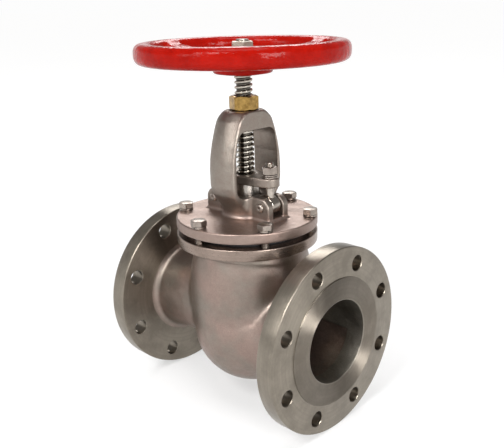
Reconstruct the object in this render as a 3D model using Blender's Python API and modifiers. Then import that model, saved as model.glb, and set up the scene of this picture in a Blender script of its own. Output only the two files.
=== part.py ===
"""Flanged globe valve, 4 inch (DN 100), class 150, with a rising stem and handwheel.

The valve stands on the rims of its two end flanges.  +X points out of the inlet
flange, +Z runs up the stem, and the origin is under the stem on the floor plane.
"""
import math

import bmesh
import bpy
from mathutils import Matrix, Vector

MM = 0.001
GAP = 0.3 * MM                      # clearance between pieces that touch

# ---- driving dimensions -------------------------------------------------------
FLANGE_R = 114.5 * MM               # end flange, 229 mm across
PIPE_Z = FLANGE_R                   # height of the pipe axis above the floor
HALF_LENGTH = 146.0 * MM            # face to face 292 mm
FLANGE_T = 23.8 * MM                # thickness with the raised face
FACE_R = 78.6 * MM                  # raised face
FACE_H = 1.6 * MM
BORE_R = 51.0 * MM
PIPE_BOLT_PCD_R = 95.25 * MM
PIPE_BOLT_HOLE_R = 9.5 * MM
PIPE_BOLT_COUNT = 8
NECK_R = 58.6 * MM
NECK_FILLET = 6.0 * MM
NECK_END = 30.0 * MM                # the straight necks run in as far as this
BORE_END = 70.7 * MM                # the bores run in as far as this

CHAMBER_R = 63.0 * MM               # inside of the bowl and of the globe below it
GLOBE_R = 75.5 * MM                 # the globe under the seat, which the inlet runs down into
GLOBE_X = 5.0 * MM
GLOBE_DROP = 17.2 * MM              # its centre lies this far below the pipe
COVER_R = 88.5 * MM                 # body top flange and bonnet flange
BODY_FLANGE_LOW = PIPE_Z + 96.9 * MM
BODY_FLANGE_TOP = PIPE_Z + 110.8 * MM
COVER_LOW = PIPE_Z + 117.6 * MM
COVER_TOP = PIPE_Z + 130.4 * MM
COVER_BOLT_R = 80.5 * MM
COVER_BOLTS = 6
GASKET_R = (64.0 * MM, 74.0 * MM)
BOLT_AF = 17.0 * MM                 # M10 bolts and nuts
BOLT_R = 5.0 * MM
BOLT_HEAD_H = 6.6 * MM
TAPPED_R = 5.35 * MM
CLEAR_R = 5.6 * MM
WASHER_R = (5.4 * MM, 8.9 * MM)     # spring washers

DECK_LOW = PIPE_Z - 8.0 * MM        # bridge wall that carries the seat
DECK_TOP = PIPE_Z + 10.0 * MM
SEAT_R = (48.0 * MM, 54.0 * MM)
SEAT_LIP = PIPE_Z + 14.0 * MM
SEAT_STEP = PIPE_Z - 2.0 * MM
SEAT_FIT = 2 * GAP

STEM_R = 11.0 * MM
LIFT_AT_REST = 10.0 * MM            # how far the disc stands off its seat
STEM_TIP = PIPE_Z + 341.5 * MM
STEM_END_R = 8.0 * MM               # thread for the handwheel nut
BUSH_AF = 31.0 * MM
BUSH_R = 14.0 * MM
BUSH_HEX_H = 16.6 * MM
BUSH_TURN_DEG = 36.8
BACKSEAT_R = 17.0 * MM
BACKSEAT_Z = (PIPE_Z + 112.0 * MM, PIPE_Z + 122.0 * MM)

YOKE_HALF_X = 19.3 * MM             # the two flat sides of the yoke
YOKE_TOP = PIPE_Z + 259.8 * MM
WINDOW_LOW = PIPE_Z + 156.5 * MM
WINDOW_TOP = PIPE_Z + 237.0 * MM
WINDOW_HALF_Y = 36.0 * MM
BOX_BORE_R = 17.6 * MM              # stuffing box
BOX_FLOOR = PIPE_Z + 126.0 * MM

PIN_X = 40.6 * MM                   # eyebolt hinge pins
PIN_Z = PIPE_Z + 147.4 * MM
PIN_R = 4.0 * MM
EYE_R = 11.2 * MM
EYE_HALF_T = 7.6 * MM
LUG_HALF_Y = 17.9 * MM
GLAND_LOW = PIPE_Z + 170.8 * MM
GLAND_TOP = PIPE_Z + 182.0 * MM
EYEBOLT_TOP = PIPE_Z + 200.4 * MM
EYEBOLT_R = 5.0 * MM
GLAND_HOLE_R = 6.2 * MM
GLAND_MIDDLE_R = 19.0 * MM
GLAND_END_R = 11.6 * MM
GLAND_NUT_H = 9.0 * MM
FOLLOWER_R = (STEM_R + 0.5 * MM, 17.2 * MM)

PACKING_H = 5.8 * MM
PACKING_LOW = BOX_FLOOR + 2.6 * MM
PACKING_COUNT = 3
PACKING_TOP = PACKING_LOW + PACKING_COUNT * (PACKING_H + GAP)

WHEEL_R = 127.0 * MM
WHEEL_RIM_Z = PIPE_Z + 328.0 * MM
WHEEL_RIM_HALF = (11.0 * MM, 12.0 * MM)   # rim section, radial and upward halves
HUB_LOW = PIPE_Z + 302.0 * MM
HUB_TOP = PIPE_Z + 324.0 * MM
SPOKES = 3
SPOKE_FIRST_DEG = 71.0
SPOKE_HALF_W = 13.0 * MM
SPOKE_HALF_T = 4.5 * MM
SQUARE_AF = 15.0 * MM
WHEEL_NUT_AF = 24.0 * MM
WHEEL_NUT_H = 12.7 * MM
WHEEL_NUT_TURN_DEG = 20.0

# ---- materials: base colour, roughness, metallic --------------------------------
STEEL_CAST = ((0.30, 0.255, 0.22), 0.42, 1.0)
STEEL_TURNED = ((0.46, 0.44, 0.41), 0.28, 1.0)
STEEL_BRIGHT = ((0.60, 0.57, 0.54), 0.22, 1.0)
BRASS = ((0.55, 0.38, 0.12), 0.32, 1.0)
RED_PAINT = ((0.55, 0.012, 0.008), 0.25, 0.0)
GRAPHITE = ((0.03, 0.03, 0.032), 0.7, 0.0)

CUTTER_START = math.radians(2.3)
RUN_STEPS = 32                      # sides of the end flanges and the pipe run
COLLECTION = "globe_valve"
CUTTERS = "globe_valve_cutters"


# ---- scene helpers --------------------------------------------------------------
def fresh_scene():
    """Empty the scene and make one collection for parts and one for cutters."""
    for obj in list(bpy.data.objects):
        bpy.data.objects.remove(obj, do_unlink=True)
    collections = {}
    for name in (COLLECTION, CUTTERS):
        coll = bpy.data.collections.new(name)
        bpy.context.scene.collection.children.link(coll)
        collections[name] = coll
    return collections


COLL = fresh_scene()


def material(name, look):
    """One Principled material for one part."""
    colour, roughness, metallic = look
    mat = bpy.data.materials.new(name)
    mat.use_nodes = True
    shader = mat.node_tree.nodes["Principled BSDF"]
    shader.inputs["Base Color"].default_value = (*colour, 1.0)
    shader.inputs["Roughness"].default_value = roughness
    shader.inputs["Metallic"].default_value = metallic
    return mat


def new_object(name, mesh, look=None):
    """Link a mesh as a part, or as a hidden cutter when it has no look."""
    obj = bpy.data.objects.new(name, mesh)
    if look is None:
        obj.hide_render = True
        obj.display_type = "WIRE"
        COLL[CUTTERS].objects.link(obj)
    else:
        mesh.materials.append(material(name, look))
        COLL[COLLECTION].objects.link(obj)
    return obj


def outline_mesh(name, points, closed, start):
    """A mesh of edges through (radius, height) points in an upright plane at angle start."""
    mesh = bpy.data.meshes.new(name)
    cos, sin = math.cos(start), math.sin(start)
    count = len(points)
    edges = [(i, i + 1) for i in range(count - 1)]
    if closed:
        edges.append((count - 1, 0))
    mesh.from_pydata([(r * cos, r * sin, z) for r, z in points], edges, [])
    return mesh


def turned(name, points, look=None, steps=32, closed=False, start=None):
    """A turned shape: a profile down the outer side, swept about its own Z axis.

    A cutter starts a few degrees round, so that its facets and the part's don't line up.
    """
    if start is None:
        start = 0.0 if look else CUTTER_START
    obj = new_object(name, outline_mesh(name, points, closed, start), look)
    screw = obj.modifiers.new("turn", "SCREW")
    screw.steps = steps
    screw.render_steps = steps
    screw.use_merge_vertices = True
    screw.merge_threshold = 0.00001
    screw.use_smooth_shade = True
    return obj


def ring(name, radii, heights, look=None, steps=32):
    """A plain ring between two radii and two heights."""
    inner, outer = radii
    low, high = heights
    points = [(outer, high), (outer, low), (inner, low), (inner, high)]
    return turned(name, points, look, steps, closed=True)


def rod(name, radius, heights, look=None, steps=24):
    """A plain cylinder along its own Z axis."""
    low, high = heights
    return turned(name, [(0, high), (radius, high), (radius, low), (0, low)], look, steps)


def block(name, low, high, look=None):
    """A box between two corners."""
    mesh = bpy.data.meshes.new(name)
    bm = bmesh.new()
    bmesh.ops.create_cube(bm, size=1.0)
    size = Vector(high) - Vector(low)
    middle = (Vector(high) + Vector(low)) / 2
    bmesh.ops.scale(bm, vec=size, verts=bm.verts)
    bmesh.ops.translate(bm, vec=middle, verts=bm.verts)
    bm.to_mesh(mesh)
    bm.free()
    return new_object(name, mesh, look)


def prism(name, across_flats, sides, heights, look=None, turn=0.0):
    """A regular prism along Z, given by its size across flats."""
    low, high = heights
    radius = across_flats / 2 / math.cos(math.pi / sides)
    mesh = bpy.data.meshes.new(name)
    bm = bmesh.new()
    bmesh.ops.create_cone(bm, cap_ends=True, segments=sides, radius1=radius,
                          radius2=radius, depth=high - low)
    bmesh.ops.rotate(bm, verts=bm.verts, cent=(0, 0, 0), matrix=Matrix.Rotation(turn, 3, "Z"))
    bmesh.ops.translate(bm, vec=(0, 0, (low + high) / 2), verts=bm.verts)
    bm.to_mesh(mesh)
    bm.free()
    return new_object(name, mesh, look)


def extruded(name, points, half_depth, look=None):
    """A flat outline in XY, filled and extruded both ways along Z, as a mesh."""
    curve = bpy.data.curves.new(name + "_outline", "CURVE")
    curve.dimensions = "2D"
    curve.fill_mode = "BOTH"
    curve.extrude = half_depth
    spline = curve.splines.new("POLY")
    spline.points.add(len(points) - 1)
    for point, (x, y) in zip(spline.points, points):
        point.co = (x, y, 0.0, 1.0)
    spline.use_cyclic_u = True
    source = bpy.data.objects.new(name + "_outline", curve)
    COLL[CUTTERS].objects.link(source)
    graph = bpy.context.evaluated_depsgraph_get()
    mesh = bpy.data.meshes.new_from_object(source.evaluated_get(graph))
    bpy.data.objects.remove(source, do_unlink=True)
    bm = bmesh.new()
    bm.from_mesh(mesh)
    bmesh.ops.remove_doubles(bm, verts=bm.verts, dist=0.000001)
    bmesh.ops.recalc_face_normals(bm, faces=bm.faces)
    bm.to_mesh(mesh)
    bm.free()
    mesh.name = name
    return new_object(name, mesh, look)


def boolean(obj, other, operation):
    """Join, cut or intersect with the exact solver."""
    modifier = obj.modifiers.new(operation.lower(), "BOOLEAN")
    modifier.operation = operation
    modifier.solver = "EXACT"
    modifier.object = other
    return obj


def seal(obj):
    """Merge the near-duplicate points that a long chain of cuts leaves behind."""
    weld = obj.modifiers.new("seal", "WELD")
    weld.merge_threshold = 0.00001


def along_x(obj, sign=1):
    """Turn a Z-axis shape so that its top points along +X or -X."""
    obj.rotation_euler = (0.0, sign * math.pi / 2, 0.0)
    return obj


def along_y(obj):
    """Turn a Z-axis shape so that its top points along -Y."""
    obj.rotation_euler = (math.pi / 2, 0.0, 0.0)
    return obj


def arc(centre, radius, start_deg, end_deg, steps):
    """Points on an arc, both ends included."""
    points = []
    for i in range(steps + 1):
        angle = math.radians(start_deg + (end_deg - start_deg) * i / steps)
        points.append((centre[0] + radius * math.cos(angle), centre[1] + radius * math.sin(angle)))
    return points


def hole_ring(name, count, first_deg, circle_r, hole_r, heights, steps=10):
    """Cutters for a ring of round holes about the Z axis, as one object."""
    low, high = heights
    mesh = bpy.data.meshes.new(name)
    bm = bmesh.new()
    for i in range(count):
        angle = math.radians(first_deg + 360 / count * i)
        made = bmesh.ops.create_cone(bm, cap_ends=True, segments=steps, radius1=hole_r,
                                     radius2=hole_r, depth=high - low)
        turn = Matrix.Rotation(angle + CUTTER_START, 3, "Z")
        bmesh.ops.rotate(bm, verts=made["verts"], cent=(0, 0, 0), matrix=turn)
        shift = (circle_r * math.cos(angle), circle_r * math.sin(angle), (low + high) / 2)
        bmesh.ops.translate(bm, vec=shift, verts=made["verts"])
    bm.to_mesh(mesh)
    bm.free()
    return new_object(name, mesh)


def joint_empty(name, place):
    """An empty on a joint's axis, which carries the pieces that move with it."""
    empty = bpy.data.objects.new(name, None)
    empty.location = place
    COLL[COLLECTION].objects.link(empty)
    return empty


def carry(parent, *pieces):
    """Parent pieces whose meshes are already in place to a joint's empty."""
    for piece in pieces:
        piece.parent = parent
        piece.matrix_parent_inverse = Matrix.Translation(-parent.location)


# ---- body -----------------------------------------------------------------------
def pipe_run_profile():
    """Half of the straight run with its end flange, from the face to the middle.

    The flange is a polygon that stands on one of its flats, so its corners lie further out.
    """
    flange_back = HALF_LENGTH - FLANGE_T
    fillet = NECK_FILLET
    edge = 1.5 * MM
    rim_r = FLANGE_R / math.cos(math.pi / RUN_STEPS)
    points = [
        (0, HALF_LENGTH),
        (FACE_R, HALF_LENGTH),
        (FACE_R, HALF_LENGTH - FACE_H),
        (rim_r - edge, HALF_LENGTH - FACE_H),
        (rim_r, HALF_LENGTH - FACE_H - edge),
        (rim_r, flange_back + edge),
        (rim_r - edge, flange_back),
    ]
    points += arc((NECK_R + fillet, flange_back - fillet), fillet, 90, 180, 3)
    points += [(NECK_R, NECK_END), (0, NECK_END)]
    return points


def bowl_profile():
    """The barrel-shaped bowl from the body flange down into the globe."""
    shape = [
        (98.0, 69.0), (88.0, 69.6), (78.0, 71.2), (65.0, 73.0), (48.0, 74.4), (25.0, 74.8),
        (13.0, 73.6), (5.0, 71.0), (-4.0, 66.0), (-12.0, 58.0), (-12.0, 0.0),
    ]
    return [(r * MM, PIPE_Z + z * MM) for z, r in shape]


def make_body():
    """The cast body: two flanged necks, the bowl, the globe and the seat bridge."""
    flange = [(0, BODY_FLANGE_TOP), (COVER_R - MM, BODY_FLANGE_TOP), (COVER_R, BODY_FLANGE_TOP - MM),
              (COVER_R, BODY_FLANGE_LOW + MM), (COVER_R - MM, BODY_FLANGE_LOW)]
    body = turned("valve_body", flange + bowl_profile(), STEEL_CAST, 36)

    for name, sign in (("inlet", 1), ("outlet", -1)):
        run = turned("cut_run_" + name, pipe_run_profile(), None, RUN_STEPS, start=math.pi / RUN_STEPS)
        run.location = (0, 0, PIPE_Z)
        along_x(run, sign)
        boolean(body, run, "UNION")

    globe = turned("cut_globe", arc((0, 0), GLOBE_R, 90, -90, 14), None, 32)
    globe.location = (GLOBE_X, 0, PIPE_Z - GLOBE_DROP)
    boolean(body, globe, "UNION")
    tube_run = HALF_LENGTH - FLANGE_T - 4.0 * MM - GLOBE_X
    reach = math.hypot(GLOBE_DROP, tube_run)
    tube = turned("cut_inlet_tube", [(0, reach), (56.0 * MM, reach), (61.0 * MM, 0), (0, -MM)], None, 28)
    tube.location = globe.location
    tube.rotation_euler = (0, math.pi / 2 - math.atan2(GLOBE_DROP, tube_run), 0)
    boolean(body, tube, "UNION")

    for cutter in passage_cutters():
        boolean(body, cutter, "DIFFERENCE")
    for name, sign in (("inlet", 1), ("outlet", -1)):
        holes = hole_ring("cut_bolt_holes_" + name, PIPE_BOLT_COUNT, 180 / PIPE_BOLT_COUNT,
                          PIPE_BOLT_PCD_R, PIPE_BOLT_HOLE_R, (HALF_LENGTH - 40 * MM, HALF_LENGTH + 10 * MM))
        holes.location = (0, 0, PIPE_Z)
        along_x(holes, sign)
        boolean(body, holes, "DIFFERENCE")
    tapped = hole_ring("cut_tapped_holes", COVER_BOLTS, 30, COVER_BOLT_R, TAPPED_R,
                       (BODY_FLANGE_LOW - 20 * MM, BODY_FLANGE_TOP + 5 * MM), 10)
    boolean(body, tapped, "DIFFERENCE")
    seal(body)


def half_passage(name, sign):
    """The part of a flow passage that runs on under or over the seat bridge."""
    passage = rod(name, BORE_R - 1.1 * MM, (0.0, 80.0 * MM), None, 28)
    passage.location = (0, 0, PIPE_Z)
    along_x(passage, sign)
    if sign > 0:
        keep = block(name + "_keep", (-MM, -0.1, 0.0), (0.1, 0.1, DECK_LOW))
    else:
        keep = block(name + "_keep", (-0.1, -0.1, DECK_TOP), (MM, 0.1, 0.3))
    boolean(passage, keep, "INTERSECT")
    return passage


def passage_cutters():
    """Everything that is hollow in the body."""
    chambers = [
        (0, BODY_FLANGE_TOP + 5 * MM), (CHAMBER_R, BODY_FLANGE_TOP + 5 * MM), (CHAMBER_R, DECK_TOP),
        (SEAT_R[1] + SEAT_FIT, DECK_TOP), (SEAT_R[1] + SEAT_FIT, SEAT_STEP),
        (SEAT_R[0] + SEAT_FIT, SEAT_STEP), (SEAT_R[0] + SEAT_FIT, DECK_LOW), (CHAMBER_R, DECK_LOW),
    ]
    chambers += arc((0, PIPE_Z - GLOBE_DROP), CHAMBER_R, 0, -90, 6)
    cutters = [
        turned("cut_chambers", chambers, None, 28),
        half_passage("cut_inlet_under_bridge", 1),
        half_passage("cut_outlet_over_bridge", -1),
    ]
    for name, sign in (("inlet", 1), ("outlet", -1)):
        bore = rod("cut_bore_" + name, BORE_R, (BORE_END, HALF_LENGTH + 10 * MM), None, 28)
        bore.location = (0, 0, PIPE_Z)
        along_x(bore, sign)
        cutters.append(bore)
    return cutters


def make_seat_ring():
    """The seat ring in its pocket, with a raised seating lip."""
    inner, outer = SEAT_R
    low = SEAT_STEP + GAP
    points = [(outer - 2.5 * MM, SEAT_LIP), (outer - 2.5 * MM, DECK_TOP), (outer, DECK_TOP),
              (outer, low), (inner, low), (inner, SEAT_LIP)]
    return turned("seat_ring", points, STEEL_TURNED, 32, closed=True)


# ---- bonnet and yoke --------------------------------------------------------------
def yoke_profile():
    """Outer outline of the yoke, which is round before its two sides are cut flat."""
    shape = [
        (259.8, 0.0), (259.8, 23.0), (257.6, 26.3), (253.8, 30.0), (249.2, 33.6), (237.0, 37.8),
        (220.7, 42.1), (204.4, 45.1), (189.1, 46.3), (171.0, 46.0), (160.0, 43.6), (152.0, 38.5),
        (145.0, 33.0), (139.0, 30.0), (129.0, 30.0), (129.0, 0.0),
    ]
    return [(r * MM, PIPE_Z + z * MM) for z, r in shape]


def rounded_window():
    """Outline of the yoke window, Y across and Z up, with rounded corners."""
    low_r, top_r = 11.0 * MM, 16.0 * MM
    points = []
    points += arc((WINDOW_HALF_Y - top_r - 4 * MM, WINDOW_TOP - top_r), top_r, 90, 10, 4)
    points += arc((WINDOW_HALF_Y - low_r, WINDOW_LOW + low_r), low_r, 0, -90, 4)
    points += arc((-WINDOW_HALF_Y + low_r, WINDOW_LOW + low_r), low_r, -90, -180, 4)
    points += arc((-WINDOW_HALF_Y + top_r + 4 * MM, WINDOW_TOP - top_r), top_r, 170, 90, 4)
    return points


def lug_outline():
    """Side view of one eyebolt lug: X out, Z up."""
    end_x = PIN_X + 13.2 * MM
    top_z = WINDOW_LOW + 1.0 * MM
    low_z = COVER_TOP - 2.0 * MM
    corner = 9.0 * MM
    points = [(14.0 * MM, low_z), (end_x + 1.5 * MM, low_z), (end_x, low_z + 6 * MM)]
    points += arc((end_x - corner, top_z - corner), corner, 0, 90, 4)
    points += [(14.0 * MM, top_z)]
    return points


def make_bonnet():
    """Bonnet, stuffing box, yoke and eyebolt lugs, cast in one piece."""
    register_r = 61.8 * MM
    box_r = 30.0 * MM
    foot = arc((box_r + 5 * MM, COVER_TOP + 5 * MM), 5 * MM, 180, 270, 3)
    points = [(0, WINDOW_LOW + 2 * MM), (box_r, WINDOW_LOW + 2 * MM)] + foot
    points += [
        (COVER_R - MM, COVER_TOP), (COVER_R, COVER_TOP - MM),
        (COVER_R, COVER_LOW + MM), (COVER_R - MM, COVER_LOW),
        (GASKET_R[1], COVER_LOW), (GASKET_R[1], BODY_FLANGE_TOP + 3.6 * MM),
        (register_r, BODY_FLANGE_TOP + 3.6 * MM), (register_r, PIPE_Z + 106 * MM), (0, PIPE_Z + 106 * MM),
    ]
    bonnet = turned("bonnet_yoke", points, STEEL_CAST, 40)

    yoke = turned("cut_yoke", yoke_profile(), None, 32)
    slab = block("cut_yoke_slab", (-YOKE_HALF_X, -0.1, PIPE_Z + 0.11), (YOKE_HALF_X, 0.1, YOKE_TOP + 0.05))
    boolean(yoke, slab, "INTERSECT")
    boolean(bonnet, yoke, "UNION")
    for name, side in (("front", 1), ("rear", -1)):
        lug = extruded("cut_lug_" + name, [(side * x, z) for x, z in lug_outline()], LUG_HALF_Y)
        lug.rotation_euler = (math.pi / 2, 0, 0)
        boolean(bonnet, lug, "UNION")

    window = extruded("cut_window", rounded_window(), 70 * MM)
    window.rotation_euler = (math.pi / 2, 0, math.pi / 2)
    boolean(bonnet, window, "DIFFERENCE")
    stem_way_r = STEM_R + 2 * GAP
    bush_r = BACKSEAT_R + GAP
    bush_low, bush_top = BACKSEAT_Z
    stem_way = [
        (0, WINDOW_LOW + 10 * MM), (BOX_BORE_R, WINDOW_LOW + 10 * MM), (BOX_BORE_R, BOX_FLOOR),
        (stem_way_r, BOX_FLOOR), (stem_way_r, bush_top), (bush_r, bush_top), (bush_r, bush_low),
        (20 * MM, bush_low), (46 * MM, bush_low - 12 * MM), (0, bush_low - 12 * MM),
    ]
    cutters = [
        turned("cut_stem_way", stem_way, None, 32),
        rod("cut_bush_bore", BUSH_R + GAP, (WINDOW_TOP - 15 * MM, YOKE_TOP + 5 * MM), None, 24),
        hole_ring("cut_cover_holes", COVER_BOLTS, 30, COVER_BOLT_R, CLEAR_R,
                  (COVER_LOW - 5 * MM, COVER_TOP + 5 * MM), 10),
    ]
    for side in (1, -1):
        near, far = sorted((side * 29.0 * MM, side * 70.0 * MM))
        cutters.append(block("cut_eye_slot", (near, -EYE_HALF_T - 0.8 * MM, COVER_TOP + 3.5 * MM),
                             (far, EYE_HALF_T + 0.8 * MM, WINDOW_LOW + 10 * MM)))
        pin_hole = rod("cut_pin_hole", PIN_R + GAP, (-40 * MM, 40 * MM), None, 16)
        pin_hole.location = (side * PIN_X, 0, PIN_Z)
        cutters.append(along_y(pin_hole))
    for cutter in cutters:
        boolean(bonnet, cutter, "DIFFERENCE")
    seal(bonnet)


def make_bonnet_bolts():
    """Six hexagon bolts through the bonnet flange, each on a split spring washer."""
    washer_h = 2.4 * MM
    head_low = COVER_TOP + GAP + washer_h + GAP
    for i in range(COVER_BOLTS):
        angle = math.radians(30 + 60 * i)
        place = (COVER_BOLT_R * math.cos(angle), COVER_BOLT_R * math.sin(angle), 0)
        number = str(i + 1)
        bolt = prism("bonnet_bolt_" + number, BOLT_AF, 6, (head_low, head_low + BOLT_HEAD_H), STEEL_BRIGHT,
                     0.21 + 0.37 * i)
        shank = rod("cut_bolt_shank_" + number, BOLT_R, (BODY_FLANGE_LOW + MM, head_low + MM), None, 12)
        boolean(bolt, shank, "UNION")
        washer = split_washer("bonnet_spring_washer_" + number, WASHER_R,
                              (COVER_TOP + GAP, COVER_TOP + GAP + washer_h), 0.9 + i)
        for piece in (bolt, shank, washer):
            piece.location = place


def split_washer(name, radii, heights, turn):
    """A spring washer: a square-section ring with a narrow split."""
    inner, outer = radii
    low, high = heights
    washer = ring(name, radii, heights, STEEL_BRIGHT, 16)
    half_split = 0.7 * MM
    split = block("cut_" + name, (inner - 2 * MM, -half_split, low - MM),
                  (outer + 2 * MM, half_split, high + MM))
    split.rotation_euler = (0, 0, turn)
    split.parent = washer
    boolean(washer, split, "DIFFERENCE")
    return washer


def make_bonnet_trim():
    """Gasket, backseat bush and the brass yoke bush."""
    ring("bonnet_gasket", GASKET_R, (BODY_FLANGE_TOP + GAP, BODY_FLANGE_TOP + 3.3 * MM), GRAPHITE, 40)
    bush_low, bush_top = BACKSEAT_Z
    ring("backseat_bush", (STEM_R + 0.5 * MM, BACKSEAT_R), (bush_low, bush_top - GAP), STEEL_TURNED, 32)
    hex_low = YOKE_TOP + GAP
    bush = prism("yoke_bush", BUSH_AF, 6, (hex_low, hex_low + BUSH_HEX_H), BRASS,
                 math.radians(BUSH_TURN_DEG))
    barrel = rod("cut_bush_barrel", BUSH_R, (WINDOW_TOP - 1.0 * MM, hex_low + 2 * MM), None, 24)
    boolean(bush, barrel, "UNION")
    bore = rod("cut_bush_thread", STEM_R + GAP, (WINDOW_TOP - 10 * MM, hex_low + 30 * MM), None, 24)
    boolean(bush, bore, "DIFFERENCE")


# ---- gland ------------------------------------------------------------------------
def gland_outline():
    """Oval gland flange outline: a wide middle that narrows to a round end each side."""
    lean = math.degrees(math.asin((GLAND_MIDDLE_R - GLAND_END_R) / PIN_X))
    points = arc((PIN_X, 0), GLAND_END_R, lean - 90, 90 - lean, 12)
    points += arc((0, 0), GLAND_MIDDLE_R, 90 - lean, 90 + lean, 2)
    points += arc((-PIN_X, 0), GLAND_END_R, 90 + lean, 270 - lean, 12)
    points += arc((0, 0), GLAND_MIDDLE_R, 270 - lean, 270 + lean, 2)
    return points


def make_gland():
    """Gland flange and follower, which slide down together to squeeze the packing."""
    lift = joint_empty("gland_slide_axis", (0, 0, GLAND_LOW))
    middle = (GLAND_LOW + GLAND_TOP) / 2
    flange = extruded("gland_flange", gland_outline(), (GLAND_TOP - GLAND_LOW) / 2, STEEL_TURNED)
    flange.location = (0, 0, middle)
    bore = rod("cut_gland_bore", STEM_R + 0.6 * MM, (-20 * MM, 20 * MM), None, 24)
    bore.location = (0, 0, middle)
    boolean(flange, bore, "DIFFERENCE")
    for side in (1, -1):
        hole = rod("cut_gland_hole", GLAND_HOLE_R, (-20 * MM, 20 * MM), None, 20)
        hole.location = (side * PIN_X, 0, middle)
        boolean(flange, hole, "DIFFERENCE")
    follower = ring("gland_follower", FOLLOWER_R, (PACKING_TOP + GAP, GLAND_LOW - GAP), STEEL_TURNED, 32)
    carry(lift, flange, follower)


def make_packing():
    """Packing rings on a bottom washer in the stuffing box."""
    radii = (STEM_R + 0.5 * MM, BOX_BORE_R - GAP)
    ring("packing_washer", radii, (BOX_FLOOR + GAP, BOX_FLOOR + 2.3 * MM), STEEL_TURNED, 24)
    for i in range(PACKING_COUNT):
        low = PACKING_LOW + i * (PACKING_H + GAP)
        ring("packing_ring_" + str(i + 1), radii, (low, low + PACKING_H), GRAPHITE, 24)


def make_eyebolts():
    """Eyebolts on their hinge pins, each with a flat washer, a spring washer and a nut."""
    for number, side in (("1", 1), ("2", -1)):
        hinge = joint_empty("eyebolt_hinge_" + number, (side * PIN_X, 0, PIN_Z))
        eye = rod("eyebolt_" + number, EYE_R, (-EYE_HALF_T, EYE_HALF_T), STEEL_BRIGHT, 24)
        along_y(eye)
        shank = rod("cut_eyebolt_shank_" + number, EYEBOLT_R, (PIN_Z + 7 * MM, EYEBOLT_TOP), None, 16)
        shank.location = (side * PIN_X, 0, 0)
        hole = rod("cut_eyebolt_hole_" + number, PIN_R + GAP, (-0.03, 0.03), None, 16)
        hole.location = (side * PIN_X, 0, PIN_Z)
        along_y(hole)
        boolean(eye, shank, "UNION")
        boolean(eye, hole, "DIFFERENCE")
        eye.parent = hinge

        head_in, head_out = LUG_HALF_Y + GAP, LUG_HALF_Y + 2.8 * MM
        points = [(0, head_out), (4.2 * MM, head_out), (5.4 * MM, head_in + MM), (5.4 * MM, head_in),
                  (PIN_R, head_in), (PIN_R, -head_in), (5.4 * MM, -head_in), (5.4 * MM, -head_in - MM),
                  (4.2 * MM, -head_out), (0, -head_out)]
        pin = turned("eyebolt_pin_" + number, points, STEEL_BRIGHT, 16)
        pin.location = (side * PIN_X, 0, PIN_Z)
        along_y(pin)

        place = (side * PIN_X, 0, 0)
        washer_low = GLAND_TOP + GAP
        flat = ring("gland_washer_" + number, (WASHER_R[0], 9.8 * MM), (washer_low, washer_low + 1.6 * MM),
                    STEEL_BRIGHT, 20)
        spring_low = washer_low + 1.6 * MM + GAP
        spring = split_washer("gland_spring_washer_" + number, WASHER_R,
                              (spring_low, spring_low + 1.9 * MM), 0.6 + side)
        nut_low = spring_low + 1.9 * MM + GAP
        nut = prism("gland_nut_" + number, BOLT_AF, 6, (nut_low, nut_low + GLAND_NUT_H), STEEL_BRIGHT,
                    0.35 + side)
        thread = rod("cut_nut_thread_" + number, EYEBOLT_R + GAP, (nut_low - MM, nut_low + 20 * MM),
                     None, 16)
        thread.location = place
        boolean(nut, thread, "DIFFERENCE")
        for piece in (flat, spring, nut):
            piece.location = place
            piece.parent = hinge
            piece.matrix_parent_inverse = Matrix.Translation(-hinge.location)


# ---- disc, stem and handwheel ---------------------------------------------------------
def make_disc():
    """The disc with its stem socket, and the nut that holds the stem head in it."""
    slide = joint_empty("stem_slide_axis", (0, 0, PIPE_Z))
    face = SEAT_LIP + GAP + LIFT_AT_REST
    socket_low = face + 16.0 * MM
    top = face + 38.0 * MM
    points = [(17.4 * MM, top), (26 * MM, top), (26 * MM, face + 19 * MM), (50 * MM, face + 14 * MM),
              (53.5 * MM, face + 11 * MM), (53.5 * MM, face + 4 * MM), (50 * MM, face), (0, face)]
    points = [(0, socket_low), (17.4 * MM, socket_low)] + points
    disc = turned("disc", points, STEEL_TURNED, 32)
    nut_points = [(22 * MM, top + 6 * MM), (22 * MM, top + GAP), (17.0 * MM, top + GAP),
                  (17.0 * MM, top - 9 * MM), (STEM_R + GAP, top - 9 * MM), (STEM_R + GAP, top + 6 * MM)]
    nut = turned("disc_nut", nut_points, STEEL_TURNED, 24, closed=True)
    carry(slide, disc, nut)
    return slide, socket_low, top


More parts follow.
